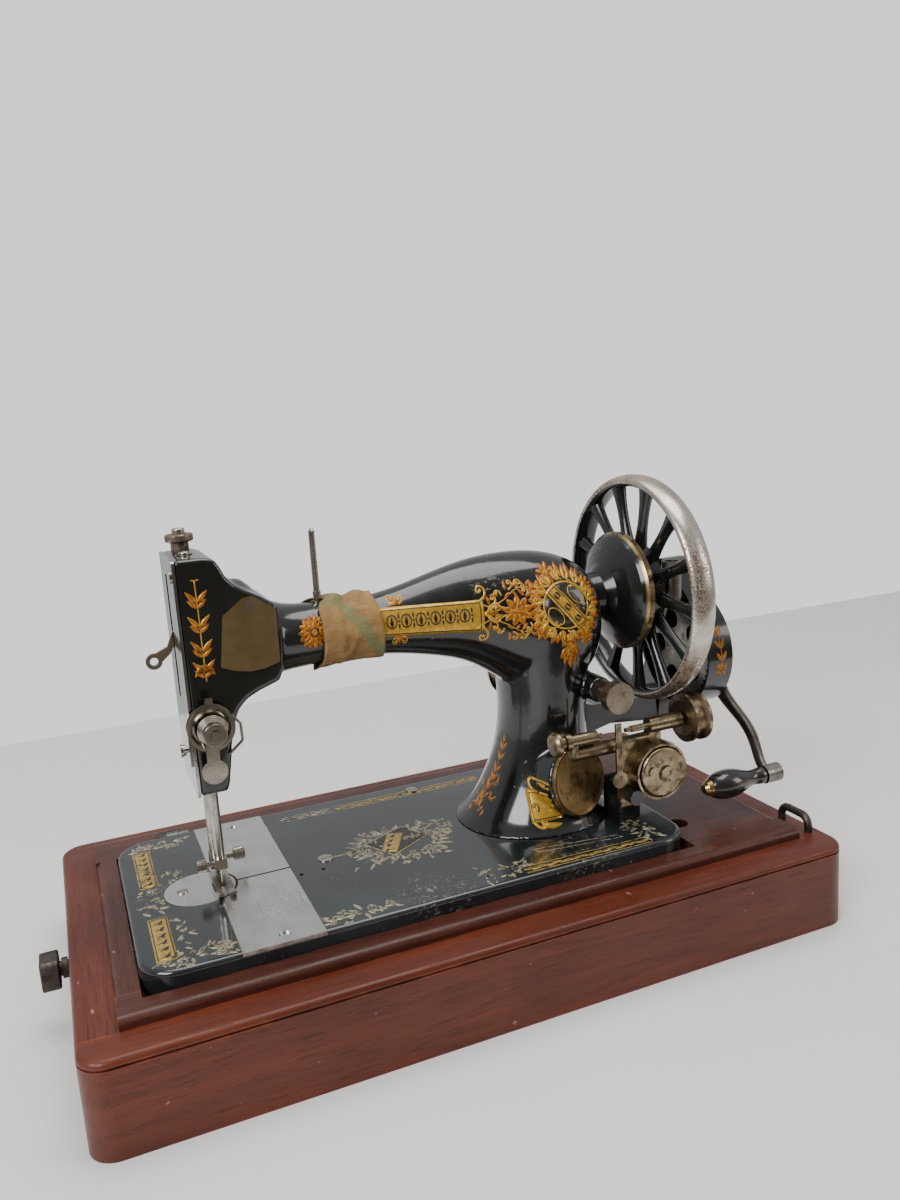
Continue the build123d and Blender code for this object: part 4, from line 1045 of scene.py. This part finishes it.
def coil_spring(name, node, wire, turns, material, body):
    """A conical coil spring in the node's box, its axis along Y."""
    low, high = (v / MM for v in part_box(node))
    centre = (low + high) / 2
    wide = (high.x - low.x) / 2 - wire
    path = []
    steps = int(turns * 28)
    for k in range(steps + 1):
        t = k / steps
        r = wide * (1 - 0.3 * t)
        a = 2 * math.pi * turns * t
        y = high.y - wire - (high.y - low.y - 2 * wire) * t
        path.append(Vector((centre.x + r * math.cos(a), y, centre.z + r * math.sin(a))))
    piece = new_piece(name, *tube(path, wire), material)
    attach(piece, body)
    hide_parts(node)
    return piece


def dress(material, *names):
    """Gives CAD nodes a material."""
    for name in names:
        slots = NODES[name].data.materials
        if not slots:
            slots.append(material)
        for k in range(len(slots)):
            slots[k] = material


# ---------------------------------------------------------------- the scene

make_camera()
make_lights()
make_world()

floor_corners = [(x, y, 0) for x, y in ((-FLOOR_HALF_WIDTH, FLOOR_FRONT), (FLOOR_HALF_WIDTH, FLOOR_FRONT),
                                        (FLOOR_HALF_WIDTH, FLOOR_BACK), (-FLOOR_HALF_WIDTH, FLOOR_BACK))]
floor = new_piece("floor", floor_corners, [(0, 1, 2, 3)], floor_material(), smooth=False)

# name: (bright, dull and stain colours, where staining starts, roughness range, rust, wear), nodes
METALS = {
    "nickel_plate": (
        ((0.6, 0.545, 0.46), (0.43, 0.375, 0.3), (0.14, 0.1, 0.062), 0.56, (0.1, 0.24), 0.0, 0.6),
        ("head_screws", "needle_clamp", "rear_cover", "take_up_lever")),
    "worn_steel": (
        ((0.5, 0.47, 0.43), (0.33, 0.3, 0.26), (0.12, 0.09, 0.065), 0.56, (0.18, 0.36)),
        ("needle_bar", "needle", "presser_bar", "presser_foot", "foot_screw", "presser_lifter",
         "spool_pin", "arm_shaft", "drive_pinion", "crank_gear", "shuttle_carrier", "shuttle",
         "feed_dog")),
    "tension_metal": (
        ((0.42, 0.385, 0.33), (0.29, 0.26, 0.215), (0.1, 0.08, 0.055), 0.56, (0.12, 0.26), 0.0, 0.6),
        ("tension_discs", "tension_plate", "tension_nut", "tension_stud")),
    "cover_metal": (
        ((0.74, 0.6, 0.37), (0.52, 0.4, 0.23), (0.24, 0.17, 0.09), 0.6, (0.08, 0.2)),
        ("shield_cover",)),
    "rusty_steel": (
        ((0.3, 0.25, 0.195), (0.18, 0.14, 0.105), (0.065, 0.042, 0.027), 0.46, (0.28, 0.48), 0.5, 0.5),
        ("presser_adjuster",)),
    "knob_steel": (
        ((0.36, 0.3, 0.235), (0.23, 0.18, 0.135), (0.08, 0.055, 0.038), 0.5, (0.22, 0.42), 0.0, 0.7),
        ("stitch_knob",)),
    "face_nickel": (
        ((0.43, 0.43, 0.415), (0.34, 0.335, 0.32), (0.18, 0.155, 0.13), 0.62, (0.07, 0.15), 0.0, 0.4),
        ("face_plate",)),
    "aged_nickel": (
        ((0.36, 0.29, 0.195), (0.21, 0.155, 0.09), (0.065, 0.043, 0.025), 0.48, (0.18, 0.38), 0.0, 0.8),
        ("winder_frame", "winder_centre", "winder_thread_guide", "winder_spindle", "winder_wheel")),
    "dark_iron": (
        ((0.27, 0.25, 0.23), (0.16, 0.145, 0.13), (0.06, 0.045, 0.035), 0.5, (0.28, 0.48), 0.0, 0.7),
        ("crank_arm", "check_spring", "drive_finger")),
    "wrought_iron": (
        ((0.12, 0.1, 0.09), (0.07, 0.058, 0.05), (0.05, 0.03, 0.02), 0.48, (0.4, 0.6), 0.0, 0.8),
        ("staple_loop", "lock_bolt", "hinge_brackets")),
    "old_brass": (
        ((0.46, 0.31, 0.125), (0.3, 0.19, 0.075), (0.09, 0.05, 0.02), 0.5, (0.24, 0.42), 0.0, 0.8),
        ("grip_cap",)),
    "badge_brass": (
        ((0.27, 0.185, 0.085), (0.19, 0.125, 0.055), (0.06, 0.035, 0.016), 0.48, (0.3, 0.46), 0.0, 0.8),
        ("badge",)),
}

BOARD = ((0.055, 0.01, 0.0045), (0.098, 0.019, 0.0075), (0.14, 0.031, 0.012))
RAIL = ((0.032, 0.008, 0.005), (0.058, 0.015, 0.009), (0.09, 0.027, 0.017))
board_x = wood("mahogany_boards_x", "x", *BOARD)
board_y = wood("mahogany_boards_y", "y", *BOARD)
rail_x = wood("mahogany_rails_x", "x", *RAIL, polish=0.3)
rail_y = wood("mahogany_rails_y", "y", *RAIL, polish=0.3)
black = enamel(scuffs=(((34, -30, 221), 17),)).material
bed_black = enamel("bed_enamel", (((-30, -80, 64.5), 30), ((60, -78, 64.5), 30), ((-170, -5, 64.5), 16)),
                   (0.01, 0.012, 0.013)).material
gold = decal("transfer_gold", (0.62, 0.37, 0.045), (0.46, 0.235, 0.025), 0.66, (0.02, 0.014, 0.008))
orange = decal("transfer_orange", (0.47, 0.175, 0.01), (0.25, 0.072, 0.005), 0.64,
               (0.015, 0.01, 0.008), 0.3)
worn_gold = decal("transfer_worn", (0.44, 0.39, 0.27), (0.25, 0.205, 0.125), 0.54, (0.022, 0.023, 0.022), 0.4)
bed_gold = decal("transfer_bed_gold", (0.5, 0.34, 0.085), (0.33, 0.21, 0.05), 0.555, (0.028, 0.025, 0.018))
line_black = decal("transfer_lines", (0.012, 0.009, 0.006), (0.03, 0.018, 0.008), 0.75,
                   (0.2, 0.12, 0.02), 0.0)
stamp_grey = decal("stamped_steel", (0.26, 0.255, 0.245), (0.4, 0.39, 0.375), 0.56, (0.5, 0.49, 0.475), 0.9)
grip_black = lacquer()

dress(board_x, "base_front_board", "base_back_board", "base_bottom_board")
dress(board_y, "base_left_board", "base_right_board")
dress(rail_x, "frame_front_rail", "frame_back_rail", "compartment_lid")
dress(rail_y, "frame_left_rail", "compartment_wall")
metals = {name: metal_shader(name, *settings).material for name, (settings, _) in METALS.items()}
for name, (_, nodes) in METALS.items():
    dress(metals[name], *nodes)
dress(slide_steel("slide_steel", True), "front_slide_plate", "rear_slide_plate")
dress(slide_steel("plate_steel", False), "needle_plate")
dress(black, "gear_case", "crank_bracket", "winder_bracket")
dress(bed_black, "bed_casting")
dress(wheel_material(), "handwheel")
dress(grip_black, "crank_grip")

CAST_VOXEL, CAST_PASSES = 1.1, 9       # mm, smoothing passes
arm = softened_casting("arm_casting", "arm_body", CAST_VOXEL, CAST_PASSES, black)
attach(arm, "head")
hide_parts("arm_casting")
arm_surface = surface_of(arm)
arm_ornament(arm_surface, gold, orange, line_black)
case_ornament(surface_of(NODES["gear_case"]), orange)
slide_stamp(surface_of(NODES["front_slide_plate"]), stamp_grey)
bed_ornament(surface_of(NODES["bed_casting"]), bed_gold, worn_gold, line_black)
cloth_band(arm_surface, cloth_material())
coil_spring("tension_coil", "tension_spring", 0.55, 4, metals["worn_steel"], "head")
